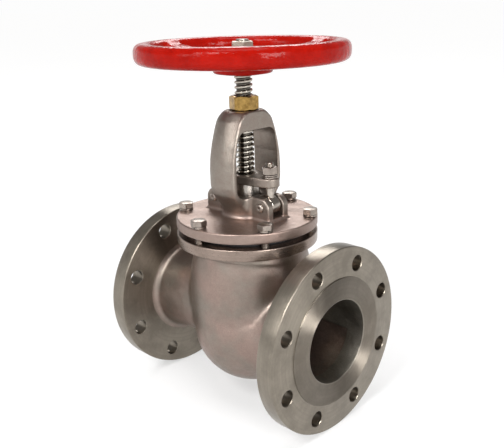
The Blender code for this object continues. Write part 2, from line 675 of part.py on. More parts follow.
def make_stem(slide, socket_low, socket_top):
    """Stem with head, backseat collar, threaded length, square and end thread."""
    axis = joint_empty("wheel_turn_axis", (0, 0, PIPE_Z))
    axis.parent = slide
    axis.matrix_parent_inverse = Matrix.Translation(-slide.location)
    head_low = socket_low + GAP
    head_top = socket_top - 9 * MM - GAP
    collar = PIPE_Z + 95.5 * MM
    thread_low = PIPE_Z + 178 * MM
    square_low = HUB_LOW + GAP
    points = [(0, STEM_TIP), (STEM_END_R - MM, STEM_TIP), (STEM_END_R, STEM_TIP - MM),
              (STEM_END_R, HUB_TOP + MM),
              (7.4 * MM, HUB_TOP), (7.4 * MM, square_low - MM), (STEM_R - MM, square_low - MM),
              (STEM_R, square_low - 2 * MM), (STEM_R, thread_low), (STEM_R - 0.2 * MM, thread_low - MM),
              (STEM_R - 0.2 * MM, collar), (15 * MM, collar - 4 * MM), (15 * MM, collar - 9 * MM),
              (STEM_R - 0.2 * MM, collar - 10 * MM), (STEM_R - 0.2 * MM, head_top), (15.5 * MM, head_top),
              (15.5 * MM, head_low), (0, head_low)]
    stem = turned("stem", points, STEEL_BRIGHT, 24)
    square = prism("cut_stem_square", SQUARE_AF, 4, (square_low - 3 * MM, HUB_TOP - 3 * MM), None,
                   math.radians(SPOKE_FIRST_DEG))
    boolean(stem, square, "UNION")

    wheel = make_handwheel()
    washer_low = HUB_TOP + GAP
    washer_h = 2.0 * MM
    washer = ring("handwheel_washer", (STEM_END_R + 0.4 * MM, 15 * MM), (washer_low, washer_low + washer_h),
                  STEEL_BRIGHT, 24)
    nut_low = washer_low + washer_h + GAP
    nut = prism("handwheel_nut", WHEEL_NUT_AF, 6, (nut_low, nut_low + WHEEL_NUT_H), STEEL_BRIGHT,
                math.radians(WHEEL_NUT_TURN_DEG))
    thread = rod("cut_wheel_nut_thread", STEM_END_R + GAP, (nut_low - MM, nut_low + 20 * MM), None, 20)
    boolean(nut, thread, "DIFFERENCE")
    carry(axis, stem, wheel, washer, nut)


def rim_section():
    """Rounded section of the rim, down the outer side first."""
    half_r, half_z = WHEEL_RIM_HALF
    middle = WHEEL_R - half_r
    power = 2.0 / 2.6
    points = []
    count = 16
    for i in range(count):
        angle = math.pi / 2 - 2 * math.pi * i / count
        cos, sin = math.cos(angle), math.sin(angle)
        points.append((middle + half_r * math.copysign(abs(cos) ** power, cos),
                       WHEEL_RIM_Z + half_z * math.copysign(abs(sin) ** power, sin)))
    return points


def spoke_outline():
    """Side view of a spoke, X out and Z up, which climbs from the hub to the rim."""
    inner, outer = 20 * MM, WHEEL_R - 2 * WHEEL_RIM_HALF[0] + 5 * MM
    low_z, high_z = HUB_LOW + 11 * MM, WHEEL_RIM_Z + 2 * MM
    steps = 6
    centre = []
    for i in range(steps + 1):
        t = i / steps
        centre.append((inner + (outer - inner) * t, low_z + (high_z - low_z) * t * t * (3 - 2 * t)))
    upper = [(x, z + SPOKE_HALF_T) for x, z in centre]
    return upper + [(x, z - SPOKE_HALF_T) for x, z in reversed(centre)]


def make_handwheel():
    """Cast handwheel: rounded rim, dished spokes and a stepped hub with a square hole."""
    wheel = turned("handwheel", rim_section(), RED_PAINT, 48, closed=True)
    for i in range(SPOKES):
        spoke = extruded("cut_spoke", spoke_outline(), SPOKE_HALF_W)
        spoke.rotation_euler = (math.pi / 2, 0, math.radians(SPOKE_FIRST_DEG + 360 / SPOKES * i))
        boolean(wheel, spoke, "UNION")
    hub = turned("cut_hub", [(0, HUB_TOP), (19 * MM, HUB_TOP), (21 * MM, HUB_TOP - 3 * MM),
                             (23 * MM, HUB_LOW + 15 * MM), (33 * MM, HUB_LOW + 12 * MM),
                             (35.6 * MM, HUB_LOW + 8 * MM), (35.6 * MM, HUB_LOW + 4 * MM),
                             (32 * MM, HUB_LOW), (0, HUB_LOW)], None, 32)
    boolean(wheel, hub, "UNION")
    square = prism("cut_hub_square", SQUARE_AF + 2 * GAP, 4, (HUB_LOW - 5 * MM, HUB_TOP + 5 * MM), None,
                   math.radians(SPOKE_FIRST_DEG))
    boolean(wheel, square, "DIFFERENCE")
    return wheel


def main():
    make_body()
    make_seat_ring()
    make_bonnet()
    make_bonnet_trim()
    make_bonnet_bolts()
    make_packing()
    make_gland()
    make_eyebolts()
    slide, socket_low, socket_top = make_disc()
    make_stem(slide, socket_low, socket_top)


main()
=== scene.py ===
"""Globe valve: detailed castings, threads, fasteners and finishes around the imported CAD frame."""

import math

import bmesh
import bpy
import numpy as np
import openvdb as vdb
from mathutils import Matrix, Vector


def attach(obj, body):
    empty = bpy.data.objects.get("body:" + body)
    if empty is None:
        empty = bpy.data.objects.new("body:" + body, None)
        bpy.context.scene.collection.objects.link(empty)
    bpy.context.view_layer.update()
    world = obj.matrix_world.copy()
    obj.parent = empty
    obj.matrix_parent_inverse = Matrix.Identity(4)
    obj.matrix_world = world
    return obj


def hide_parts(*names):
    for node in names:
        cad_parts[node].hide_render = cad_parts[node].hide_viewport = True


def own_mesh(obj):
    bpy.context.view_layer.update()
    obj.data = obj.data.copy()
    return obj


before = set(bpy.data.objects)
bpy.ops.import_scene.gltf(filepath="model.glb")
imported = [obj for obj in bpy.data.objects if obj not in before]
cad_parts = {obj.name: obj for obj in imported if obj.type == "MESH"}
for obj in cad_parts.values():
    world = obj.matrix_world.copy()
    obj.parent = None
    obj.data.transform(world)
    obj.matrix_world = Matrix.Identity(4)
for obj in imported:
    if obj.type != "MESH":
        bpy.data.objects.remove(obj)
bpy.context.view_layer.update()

# All shapes are worked out in millimetres, with z measured from the pipe axis.
MM = 0.001
GAP = 0.3                                   # clearance between pieces that touch
PIPE_Z = 114.5                              # height of the pipe axis above the floor
FLANGE_R, FACE_X, FLANGE_T, FACE_R, FACE_H = 114.5, 146.0, 23.8, 78.6, 1.6
END_HOLES, END_HOLE_DEG, END_CIRCLE_R, END_HOLE_R = 8, 22.5, 95.25, 9.5
BORE_R, PASSAGE_R, NECK_R, CHAMBER_R = 51.0, 49.0, 58.6, 63.0
NECK_START, NECK_RISE = 124.0, 12.0         # the outlet neck rises towards the middle of the body
GLOBE_R, GLOBE_X, GLOBE_Z = 75.5, 5.0, -17.2
BRIDGE_LOW, BRIDGE_TOP = -8.0, 10.0         # wall between the inlet and outlet sides
COVER_R, COVER_BOLT_R = 88.5, 80.5
COVER_BOLTS, COVER_BOLT_DEG = 6, 30.0
BODY_TOP_LOW, BODY_TOP_HIGH, COVER_LOW, COVER_TOP = 96.9, 110.8, 117.6, 130.4
PIN_X, PIN_Z = 40.6, 147.4
LUG_HALF_Y, EYE_HALF_T = 17.9, 7.6
BOX_R, BOX_TOP, BOX_BORE_R, BOX_FLOOR = 30.0, 156.5, 17.6, 126.0
YOKE_TOP, YOKE_HALF_T = 259.8, 20.8
WINDOW_HALF_Y, WINDOW_HALF_H, WINDOW_Z = 35.4, 40.25, 196.75
GLAND_LOW, GLAND_TOP, EYEBOLT_TOP = 170.8, 182.0, 200.4
GLAND_HUB_R, GLAND_EAR_R = 19.0, 11.6
BOLT_AF, BOLT_R, BOLT_PITCH = 17.0, 4.95, 1.5
WASHER_BORE_R, SPRING_WASHER_R, FLAT_WASHER_R = 5.4, 8.9, 9.8
SLEEVE_BORE_R = 11.5
PACKING_LOW, PACKING_H, PACKING_PITCH, PACKING_COUNT = 128.6, 5.8, 6.1, 3
STEM_R, LEAD = 11.0, 6.0
DISC_FACE, DISC_H, DISC_SOCKET = 24.3, 38.0, 16.0
WHEEL_R, RIM_Z = 127.0, 328.0
RIM_HALF_W, RIM_HALF_H = 11.0, 12.0
HUB_Z, HUB_R = 313.0, 35.6
SPOKE_DEG = (71.0, 191.0, 311.0)
SPOKE_HALF_W, SPOKE_HALF_T, SPOKE_RISE = 13.0, 4.5, 17.0


# ---- meshes ------------------------------------------------------------------------------
SHARP_DEG = 32.0


def shade(mesh, sharp_deg=SHARP_DEG):
    """Smooth shading, with edges sharper than sharp_deg kept crisp."""
    mesh.polygons.foreach_set("use_smooth", [True] * len(mesh.polygons))
    mesh.set_sharp_from_angle(angle=math.radians(sharp_deg))


def make_object(name, verts, faces, mats, sharp_deg=SHARP_DEG, weld=True):
    """An object from points in millimetres about the pipe axis, smooth with sharp edges kept."""
    mesh = bpy.data.meshes.new(name)
    points = np.asarray(verts, float) * MM
    points[:, 2] += PIPE_Z * MM
    mesh.from_pydata(points.tolist(), [], [list(map(int, f)) for f in faces])
    if weld:
        bm = bmesh.new()
        bm.from_mesh(mesh)
        bmesh.ops.remove_doubles(bm, verts=bm.verts, dist=2e-7)
        bmesh.ops.dissolve_degenerate(bm, edges=bm.edges, dist=1e-7)
        bmesh.ops.recalc_face_normals(bm, faces=bm.faces)
        bm.to_mesh(mesh)
        bm.free()
    for mat in mats:
        mesh.materials.append(mat)
    shade(mesh, sharp_deg)
    mesh.update()
    obj = bpy.data.objects.new(name, mesh)
    bpy.context.scene.collection.objects.link(obj)
    return obj


def soften(points, steps=4):
    """Round each corner (r, z, fillet) of a closed outline by its fillet radius."""
    out = []
    count = len(points)
    for i, point in enumerate(points):
        here = np.array(point[:2], float)
        fillet = point[2] if len(point) > 2 else 0.0
        before = np.array(points[i - 1][:2], float) - here
        after = np.array(points[(i + 1) % count][:2], float) - here
        len_b, len_a = np.linalg.norm(before), np.linalg.norm(after)
        if fillet <= 0 or len_b < 1e-6 or len_a < 1e-6:
            out.append(tuple(here))
            continue
        before, after = before / len_b, after / len_a
        half = math.acos(max(-1.0, min(1.0, float(before @ after)))) / 2
        reach = min(fillet / math.tan(half), 0.48 * len_b, 0.48 * len_a)
        radius = reach * math.tan(half)
        middle = before + after
        centre = here + middle / np.linalg.norm(middle) * (radius / math.sin(half))
        start, end = here + before * reach - centre, here + after * reach - centre
        a0 = math.atan2(start[1], start[0])
        turn = (math.atan2(end[1], end[0]) - a0 + math.pi) % (2 * math.pi) - math.pi
        for k in range(steps + 1):
            a = a0 + turn * k / steps
            out.append((centre[0] + radius * math.cos(a), centre[1] + radius * math.sin(a)))
    return out


def ring_quads(rows, steps, closed):
    """Quads between rings of points stacked one after another, and back to the first one if closed."""
    i, j = np.meshgrid(np.arange(rows if closed else rows - 1), np.arange(steps), indexing="ij")
    i2, j2 = (i + 1) % rows, (j + 1) % steps
    quads = np.stack([i * steps + j, i * steps + j2, i2 * steps + j2, i2 * steps + j], -1)
    return quads.reshape(-1, 4)


def lathe_mesh(points, steps=96):
    """Points and faces of a closed (r, z) outline turned about the Z axis."""
    outline = np.array(points, float)
    rows = len(outline)
    angles = np.arange(steps) * 2 * math.pi / steps
    verts = np.empty((rows, steps, 3))
    verts[..., 0] = outline[:, :1] * np.cos(angles)
    verts[..., 1] = outline[:, :1] * np.sin(angles)
    verts[..., 2] = outline[:, 1:2]
    return verts.reshape(-1, 3), ring_quads(rows, steps, closed=True)


def to_axis(verts, axis, at=(0.0, 0.0, 0.0), spin=0.0):
    """Spin points about their own Z axis, lay that axis along X, -X or Y, and move them."""
    v = np.array(verts, float)
    c, s = math.cos(spin), math.sin(spin)
    v = np.stack([c * v[:, 0] - s * v[:, 1], s * v[:, 0] + c * v[:, 1], v[:, 2]], 1)
    if axis == "x":
        v = np.stack([v[:, 2], v[:, 0], v[:, 1]], 1)
    elif axis == "-x":
        v = np.stack([-v[:, 2], -v[:, 0], v[:, 1]], 1)
    elif axis == "y":
        v = np.stack([v[:, 1], v[:, 2], v[:, 0]], 1)
    return v + np.array(at)


def turned(name, points, mats, steps=96, axis="z", at=(0, 0, 0), sharp_deg=SHARP_DEG):
    """A turned piece from a closed outline with corner fillets."""
    verts, faces = lathe_mesh(soften(points), steps)
    return make_object(name, to_axis(verts, axis, at), faces, mats, sharp_deg)


def cut(obj, cutters):
    """Cut closed shapes out of a piece with the exact solver, and keep the result as its mesh."""
    for cutter in cutters:
        modifier = obj.modifiers.new("cut", "BOOLEAN")
        modifier.operation = "DIFFERENCE"
        modifier.solver = "EXACT"
        modifier.object = cutter
    graph = bpy.context.evaluated_depsgraph_get()
    mesh = bpy.data.meshes.new_from_object(obj.evaluated_get(graph))
    mesh.name = obj.name
    obj.modifiers.clear()
    obj.data = mesh
    for cutter in cutters:
        bpy.data.objects.remove(cutter, do_unlink=True)
    shade(mesh)
    return obj


def hole_cutters(count, first_deg, circle_r, hole_r, low, high, flare, axis="z"):
    """Round holes with a small flare at both faces of a flange, as cutters."""
    past = 5
    wide_r = hole_r + flare + past
    outline = [(0, low - past), (wide_r, low - past), (hole_r, low + flare), (hole_r, high - flare),
               (wide_r, high + past), (0, high + past)]
    made = []
    for i in range(count):
        angle = math.radians(first_deg + 360 / count * i)
        verts, faces = lathe_mesh(outline, 48)
        verts = verts + np.array([circle_r * math.cos(angle), circle_r * math.sin(angle), 0])
        made.append(make_object("cutter", to_axis(verts, axis), faces, []))
    return made


# ---- smooth castings from distance fields ------------------------------------------------
def smin(a, b, k):
    """Union of two distance fields with a fillet of about k."""
    h = np.maximum(k - np.abs(a - b), 0.0) / k
    return np.minimum(a, b) - h * h * k * 0.25


def smax(a, b, k):
    """Intersection of two distance fields with a rounded edge of about k."""
    return -smin(-a, -b, k)


def field_grid(low, high, voxel):
    """Sample coordinates of a box as three broadcastable float32 arrays."""
    axes = [np.arange(low[i], high[i] + voxel, voxel, dtype=np.float32) for i in range(3)]
    return axes[0][:, None, None], axes[1][None, :, None], axes[2][None, None, :]


def casting(name, field, low, voxel, mats, sharp_deg=50.0):
    """The zero surface of a distance field as a closed mesh."""
    band = 3 * voxel
    grid = vdb.FloatGrid(band)
    grid.copyFromArray(np.clip(field, -band, band).astype(np.float32))
    points, quads = grid.convertToQuads(isovalue=0.0)
    points = points.astype(float) * voxel + np.array(low, float)
    a, b, c, d = (points[quads[:, k]] for k in range(4))
    volume = sum(np.einsum("ij,ij->i", a, np.cross(p, q)).sum() for p, q in ((b, c), (c, d)))
    if volume < 0:
        quads = quads[:, ::-1]
    return make_object(name, points, quads, mats, sharp_deg, weld=False)


def length(*parts):
    """Length of a vector given by its parts."""
    return np.sqrt(sum(p * p for p in parts))


def radius_at(profile, z, soft=0.0):
    """Radius read from a profile [(z, r), ...] with rising z, its corners softened over soft mm."""
    zs, rs = zip(*profile)
    if soft <= 0:
        return np.interp(z, zs, rs).astype(np.float32)
    per_soft, reach = 6, 18
    fine = np.arange(zs[0] - 4 * soft, zs[-1] + 4 * soft, soft / per_soft)
    window = np.exp(-0.5 * (np.arange(-reach, reach + 1) / per_soft) ** 2)
    padded = np.pad(np.interp(fine, zs, rs), reach, "edge")
    smooth = np.convolve(padded, window / window.sum(), "valid")
    return np.interp(z, fine, smooth).astype(np.float32)


# ---- threads, hexagons, washers ----------------------------------------------------------
def thread_verts(r_major, r_minor, lead, z_low, z_high, chamfers, steps, per_turn, flat):
    """A right-hand thread from z_low to z_high, with the ends chamfered, as a capped mesh."""
    rows = max(2, int(round((z_high - z_low) / lead * per_turn)))
    z = np.linspace(z_low, z_high, rows + 1)[:, None]
    theta = (np.arange(steps) * 2 * math.pi / steps)[None, :]
    phase = np.mod(z / lead - theta / (2 * math.pi), 1.0)
    away = np.abs(phase - 0.5) * 2.0
    rise = np.clip((away - flat) / (1.0 - 2.0 * flat), 0.0, 1.0)
    r = r_minor + (r_major - r_minor) * rise
    for edge, chamfer in ((z - z_low, chamfers[0]), (z_high - z, chamfers[1])):
        if chamfer:
            r = np.minimum(r, r_major - chamfer + edge)
    verts = np.stack([r * np.cos(theta), r * np.sin(theta), z + 0 * r], -1).reshape(-1, 3)
    faces = [list(f) for f in ring_quads(rows + 1, steps, closed=False)]
    faces.append(list(range(steps))[::-1])
    faces.append(list(range(rows * steps, (rows + 1) * steps)))
    return verts, faces


def hex_verts(across, low, high, bore=0.0, spin_deg=0.0, chamfer_low=True, crown=0.94):
    """A hexagon nut or bolt head with its corners turned off, and a countersunk bore if it has one."""
    steps, slope_deg, sink = 96, 28, 0.8
    half = across / 2
    theta = np.arange(steps) * 2 * math.pi / steps
    hexagon = half / np.cos(np.mod(theta, math.pi / 3) - math.pi / 6)
    corner = np.maximum(hexagon - half * crown, 0) * math.tan(math.radians(slope_deg))
    flat_r = half * crown
    rings = [(bore, low + sink), (bore, high - sink), (bore + sink, high)] if bore else []
    rings += [(flat_r, high), (hexagon, high - corner)]
    rings += [(hexagon, low + corner), (flat_r, low)] if chamfer_low else [(hexagon, low)]
    rings += [(bore + sink, low)] if bore else []
    around = np.cos(theta), np.sin(theta)
    verts = np.concatenate([np.stack([r * around[0], r * around[1], z + 0 * theta], 1) for r, z in rings])
    faces = []
    last = len(rings) if bore else len(rings) - 1
    for i in range(last):
        i2 = (i + 1) % len(rings)
        for j in range(steps):
            j2 = (j + 1) % steps
            faces.append([i * steps + j, i2 * steps + j, i2 * steps + j2, i * steps + j2])
    if not bore:
        faces.append(list(range(steps)))
        faces.append(list(range((len(rings) - 1) * steps, len(rings) * steps))[::-1])
    return to_axis(verts, "z", spin=math.radians(spin_deg)), faces


def spring_washer_verts(low, thick, spread, spin_deg):
    """A split spring washer: one turn of square wire whose ends stand apart by spread."""
    inner, outer, soft, steps, gap = WASHER_BORE_R, SPRING_WASHER_R, 0.25, 72, math.radians(9)
    theta = np.linspace(gap / 2, 2 * math.pi - gap / 2, steps + 1) + math.radians(spin_deg)
    rise = np.linspace(0.0, spread, steps + 1)
    section = [(inner, soft), (inner + soft, 0), (outer - soft, 0), (outer, soft),
               (outer, thick - soft), (outer - soft, thick), (inner + soft, thick), (inner, thick - soft)]
    n = len(section)
    verts = []
    for a, dz in zip(theta, rise):
        for r, z in section:
            verts.append((r * math.cos(a), r * math.sin(a), low + z + dz))
    faces = []
    for i in range(steps):
        for k in range(n):
            k2 = (k + 1) % n
            faces.append([i * n + k, (i + 1) * n + k, (i + 1) * n + k2, i * n + k2])
    faces.append(list(range(n)))
    faces.append(list(range(steps * n, (steps + 1) * n))[::-1])
    return np.array(verts), faces


def joined(parts):
    """Several (points, faces) shapes as one."""
    verts, faces, start = [], [], 0
    for v, f in parts:
        verts.append(np.asarray(v, float))
        faces += [[int(k) + start for k in face] for face in f]
        start += len(v)
    return np.concatenate(verts), faces


# ---- materials --------------------------------------------------------------------------
class Nodes:
    """Small helper that builds a Principled material node by node."""

    def __init__(self, name, colour, roughness, metallic, **sockets):
        self.mat = bpy.data.materials.new(name)
        self.mat.use_nodes = True
        self.tree = self.mat.node_tree
        self.shader = self.tree.nodes["Principled BSDF"]
        self.shader.inputs["Base Color"].default_value = (*colour, 1.0)
        self.shader.inputs["Roughness"].default_value = roughness
        self.shader.inputs["Metallic"].default_value = metallic
        for key, value in sockets.items():
            self.shader.inputs[key.replace("_", " ")].default_value = value

    def add(self, kind, values=None, **props):
        node = self.tree.nodes.new(kind)
        for key, value in props.items():
            setattr(node, key, value)
        for key, value in (values or {}).items():
            node.inputs[key].default_value = value
        return node

    def link(self, a, b):
        self.tree.links.new(a, b)

    def place(self):
        return self.add("ShaderNodeTexCoord").outputs["Object"]

    def height(self):
        node = self.add("ShaderNodeSeparateXYZ")
        self.link(self.place(), node.inputs[0])
        return node.outputs["Z"]

    def vector(self, operation, a, b=None, output="Vector"):
        node = self.add("ShaderNodeVectorMath", operation=operation)
        for socket, value in zip(node.inputs, (a, b)):
            if isinstance(value, tuple):
                socket.default_value = value
            elif value is not None:
                self.link(value, socket)
        return node.outputs[output]

    def noise(self, scale, detail=2.0, rough=0.5):
        node = self.add("ShaderNodeTexNoise", {"Scale": scale, "Detail": detail, "Roughness": rough})
        self.link(self.place(), node.inputs["Vector"])
        return node.outputs["Fac"]

    def line_noise(self, w, scale, detail=3.0):
        node = self.add("ShaderNodeTexNoise", {"Scale": scale, "Detail": detail}, noise_dimensions="1D")
        self.link(w, node.inputs["W"])
        return node.outputs["Fac"]

    def math(self, operation, a, b=0.0):
        node = self.add("ShaderNodeMath", operation=operation)
        for socket, value in zip(node.inputs, (a, b)):
            if isinstance(value, (int, float)):
                socket.default_value = value
            else:
                self.link(value, socket)
        return node.outputs[0]

    def remap(self, value, low, high, to_low, to_high):
        node = self.add("ShaderNodeMapRange", {"From Min": low, "From Max": high,
                                               "To Min": to_low, "To Max": to_high})
        self.link(value, node.inputs["Value"])
        return node.outputs["Result"]

    def mix(self, factor, colour_a, colour_b):
        node = self.add("ShaderNodeMix", data_type="RGBA")
        self.link(factor, node.inputs["Factor"])
        for socket, value in ((node.inputs[6], colour_a), (node.inputs[7], colour_b)):
            if isinstance(value, tuple):
                socket.default_value = (*value, 1.0)
            else:
                self.link(value, socket)
        return node.outputs[2]

    def bump(self, height, strength, distance, normal=None):
        node = self.add("ShaderNodeBump", {"Strength": strength, "Distance": distance})
        self.link(height, node.inputs["Height"])
        if normal is not None:
            self.link(normal, node.inputs["Normal"])
        return node.outputs["Normal"]

    def finish(self, colour=None, roughness=None, normal=None, tangent=None):
        for socket, value in (("Base Color", colour), ("Roughness", roughness), ("Normal", normal),
                              ("Tangent", tangent)):
            if value is not None:
                self.link(value, self.shader.inputs[socket])
        return self.mat


def cast_steel(name, warm, cool, painted_red_reflection_below=None):
    """Bead-blasted cast stainless steel: soft lumps, fine grain and a tint that drifts from warm to cool.

    Given a height, the tint is warm up to it and cool from a little above it; that warmth is a painted
    reflection of the red handwheel above.
    """
    n = Nodes(name, warm, 0.45, 1.0)
    lumps = n.noise(42.0, 2.0, 0.45)
    blotch = n.noise(110.0, 3.0, 0.6)
    grain = n.noise(700.0, 3.0, 0.6)
    pits = n.noise(260.0, 2.0, 0.5)
    drift = n.remap(n.noise(15.0, 3.0, 0.6), 0.40, 0.60, 0.0, 1.0)
    # painted reflection: up to the given height the tint is pushed warm, standing in for the red handwheel
    # reflected on the cover
    if painted_red_reflection_below is not None:
        rise = n.remap(n.height(), painted_red_reflection_below * MM, (painted_red_reflection_below + 12.0) * MM, 0.0, 0.85)
        drift = n.math("ADD", rise, n.math("MULTIPLY", drift, 0.15))
    colour = n.mix(drift, warm, cool)
    dark = tuple(0.70 * v for v in warm)
    colour = n.mix(n.remap(blotch, 0.30, 0.62, 0.42, 0.0), colour, dark)
    colour = n.mix(n.remap(grain, 0.30, 0.62, 0.5, 0.0), colour, dark)
    roughness = n.remap(n.math("ADD", pits, lumps), 0.7, 1.3, 0.36, 0.50)
    normal = n.bump(lumps, 0.5, 0.0026)
    normal = n.bump(blotch, 0.3, 0.0008, normal)
    normal = n.bump(pits, 0.35, 0.0005, normal)
    normal = n.bump(grain, 0.45, 0.00028, normal)
    return n.finish(colour, roughness, normal)


def turned_steel(name, axis, centre, colour, dark, rough=(0.24, 0.36), marks=0.22, aniso=0.55):
    """Steel faced in a lathe: concentric tool marks about an axis through centre."""
    n = Nodes(name, colour, 0.3, 1.0, Anisotropic=aniso)
    offset = n.vector("SUBTRACT", n.place(), centre)
    around = n.vector("CROSS_PRODUCT", axis, offset)
    outward = n.vector("NORMALIZE", n.vector("CROSS_PRODUCT", around, axis))
    across = n.vector("ADD", outward, axis)
    radius = n.vector("LENGTH", around, output="Value")
    w = n.math("ADD", radius, n.vector("DOT_PRODUCT", offset, axis, "Value"))
    fine = n.line_noise(w, 1500.0)
    broad = n.line_noise(w, 260.0, 2.0)
    stain = n.noise(34.0, 5.0, 0.65)
    speck = n.noise(420.0, 2.0, 0.6)
    tint = n.mix(n.remap(broad, 0.3, 0.7, 0.0, 0.45), colour, dark)
    tint = n.mix(n.remap(stain, 0.42, 0.62, 0.0, 0.9), tint, dark)
    roughness = n.remap(n.math("ADD", fine, speck), 0.6, 1.4, *rough)
    normal = n.bump(fine, marks, 0.00012)
    normal = n.bump(speck, 0.12, 0.0002, normal)
    return n.finish(tint, roughness, normal, across)


def bright_steel(name, colour, rough, grain=0.15, root_r=None):
    """Bright drawn or rolled steel with faint handling marks.

    With root_r, the stem thread is darkened below that radius: painted shade in the thread roots.
    """
    n = Nodes(name, colour, rough, 1.0)
    smear = n.noise(160.0, 3.0, 0.6)
    fine = n.noise(1100.0, 2.0, 0.5)
    tint = n.mix(n.remap(smear, 0.35, 0.7, 0.0, 1.0), colour, tuple(0.72 * v for v in colour))
    # painted shade: below root_r the thread roots are darkened towards near black
    if root_r is not None:
        radius = n.vector("LENGTH", n.vector("MULTIPLY", n.place(), (1.0, 1.0, 0.0)), output="Value")
        painted_root_shade = n.remap(radius, (root_r - 0.2) * MM, (root_r + 0.9) * MM, 0.9, 0.0)
        thread_end = (PIPE_Z + 300.0) * MM
        threaded = n.remap(n.height(), thread_end, thread_end + MM, 1.0, 0.0)
        tint = n.mix(n.math("MULTIPLY", painted_root_shade, threaded), tint, (0.050, 0.043, 0.035))
    roughness = n.remap(smear, 0.3, 0.7, rough * 0.8, rough * 1.5)
    return n.finish(tint, roughness, n.bump(fine, grain, 0.0001))


def brass(name):
    """Machined brass with darker tarnish in patches."""
    n = Nodes(name, (0.60, 0.40, 0.115), 0.3, 1.0)
    smear = n.noise(140.0, 4.0, 0.65)
    fine = n.noise(600.0, 3.0, 0.6)
    tint = n.mix(n.remap(smear, 0.35, 0.68, 0.0, 1.0), (0.43, 0.275, 0.088), (0.20, 0.115, 0.032))
    roughness = n.remap(smear, 0.3, 0.7, 0.08, 0.20)
    return n.finish(tint, roughness, n.bump(fine, 0.3, 0.0002))


def red_enamel(name):
    """Thick glossy enamel brushed over a rough casting."""
    red, deep_red = (0.27, 0.005, 0.002), (0.21, 0.003, 0.001)
    n = Nodes(name, red, 0.2, 0.0, IOR=1.18)
    lumps = n.noise(75.0, 2.0, 0.5)
    peel = n.noise(330.0, 2.0, 0.5)
    tint = n.mix(n.remap(n.noise(60.0, 3.0, 0.6), 0.35, 0.7, 0.0, 1.0), red, deep_red)
    normal = n.bump(lumps, 0.4, 0.0025)
    normal = n.bump(peel, 0.45, 0.0006, normal)
    return n.finish(tint, n.remap(peel, 0.3, 0.7, 0.08, 0.20), normal)


def graphite(name):
    """Braided graphite: dull, nearly black, with a fine weave."""
    n = Nodes(name, (0.03, 0.03, 0.032), 0.7, 0.0)
    weave = n.noise(900.0, 3.0, 0.6)
    tint = n.mix(n.remap(weave, 0.3, 0.7, 0.0, 1.0), (0.045, 0.045, 0.048), (0.015, 0.015, 0.017))
    return n.finish(tint, n.remap(weave, 0.3, 0.7, 0.55, 0.8), n.bump(weave, 0.6, 0.0003))


AXIS_X, AXIS_Z = (1.0, 0.0, 0.0), (0.0, 0.0, 1.0)
ORIGIN, PIPE_CENTRE = (0.0, 0.0, 0.0), (0.0, 0.0, PIPE_Z * MM)
WARM, COOL = (0.325, 0.242, 0.208), (0.260, 0.230, 0.197)
M_BODY = cast_steel("cast_body", WARM, COOL)
# the warm tint on the bonnet cover below this height is a painted reflection of the red handwheel
M_YOKE = cast_steel("cast_bonnet_painted_reflection", WARM, (0.272, 0.248, 0.214), painted_red_reflection_below=PIPE_Z + 133.0)
# bore walls: a greener tone of their own, made a little lighter as painted light for the little light that
# reaches inside
M_BORE_TONE_AND_LIGHT = cast_steel("cast_bore_tone_and_painted_light", (0.290, 0.265, 0.228), (0.270, 0.250, 0.212))
M_FLANGE = turned_steel("turned_flange", AXIS_X, PIPE_CENTRE, (0.270, 0.240, 0.198),
                        (0.190, 0.166, 0.136), rough=(0.28, 0.38), marks=0.2, aniso=0.7)
M_SERRATED = turned_steel("serrated_face", AXIS_X, PIPE_CENTRE, (0.275, 0.243, 0.204),
                          (0.220, 0.192, 0.158), rough=(0.50, 0.58), marks=0.2, aniso=1.0)
M_COVER = turned_steel("turned_cover", AXIS_Z, ORIGIN, (0.300, 0.235, 0.200), (0.235, 0.185, 0.155),
                       aniso=0.4)
M_TURNED = turned_steel("turned_part", AXIS_Z, ORIGIN, (0.45, 0.42, 0.38), (0.34, 0.31, 0.28))
M_BRIGHT = bright_steel("bright_fastener", (0.35, 0.300, 0.262), 0.30)
# root_r paints shade into the roots of the stem thread
M_STEM = bright_steel("polished_stem", (0.52, 0.48, 0.42), 0.14, 0.08, root_r=9.4)
M_EYEBOLT = bright_steel("eyebolt_steel", (0.46, 0.41, 0.36), 0.17, 0.08)
M_BRASS = brass("yoke_brass")
M_RED = red_enamel("red_enamel")
M_GRAPHITE = graphite("graphite_packing")
M_NUT = bright_steel("wheel_nut_steel", (0.40, 0.35, 0.29), 0.33)


def add_mesh(name, verts, faces, mat, body, slot, *nodes):
    """Make a piece of one material and attach it to its body."""
    return add(make_object(name, verts, faces, [mat]), body, slot, *nodes)


def add(obj, body, slot, *nodes):
    """Attach a piece to the body it moves with and hide the CAD nodes it stands for; the material slot
    argument is not used.
    """
    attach(obj, body)
    if nodes:
        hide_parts(*nodes)
    return obj


# ---- valve body --------------------------------------------------------------------------
def end_flange(name, axis):
    """One end flange with raised face and eight holes."""
    back, front = FACE_X - FLANGE_T, FACE_X - FACE_H
    points = [(BORE_R, FACE_X, 1.2), (FACE_R, FACE_X, 0.5), (FACE_R, front, 0.4), (FLANGE_R, front, 1.3),
              (FLANGE_R, back, 1.5), (BORE_R, back)]
    flange = turned(name, points, [M_FLANGE, M_BORE_TONE_AND_LIGHT, M_SERRATED], 160, axis)
    holes = hole_cutters(END_HOLES, END_HOLE_DEG, END_CIRCLE_R, END_HOLE_R, back, front, 0.7, axis)
    return paint_face(paint_bore(cut(flange, holes)))


def paint_face(obj):
    """Give the raised gasket face its own serrated finish, the third material."""
    for face in obj.data.polygons:
        r = math.hypot(face.center.y, face.center.z - PIPE_Z * MM)
        if abs(face.center.x) > (FACE_X - 0.2) * MM and r > (BORE_R + 1.0) * MM:
            face.material_index = 2
    return obj


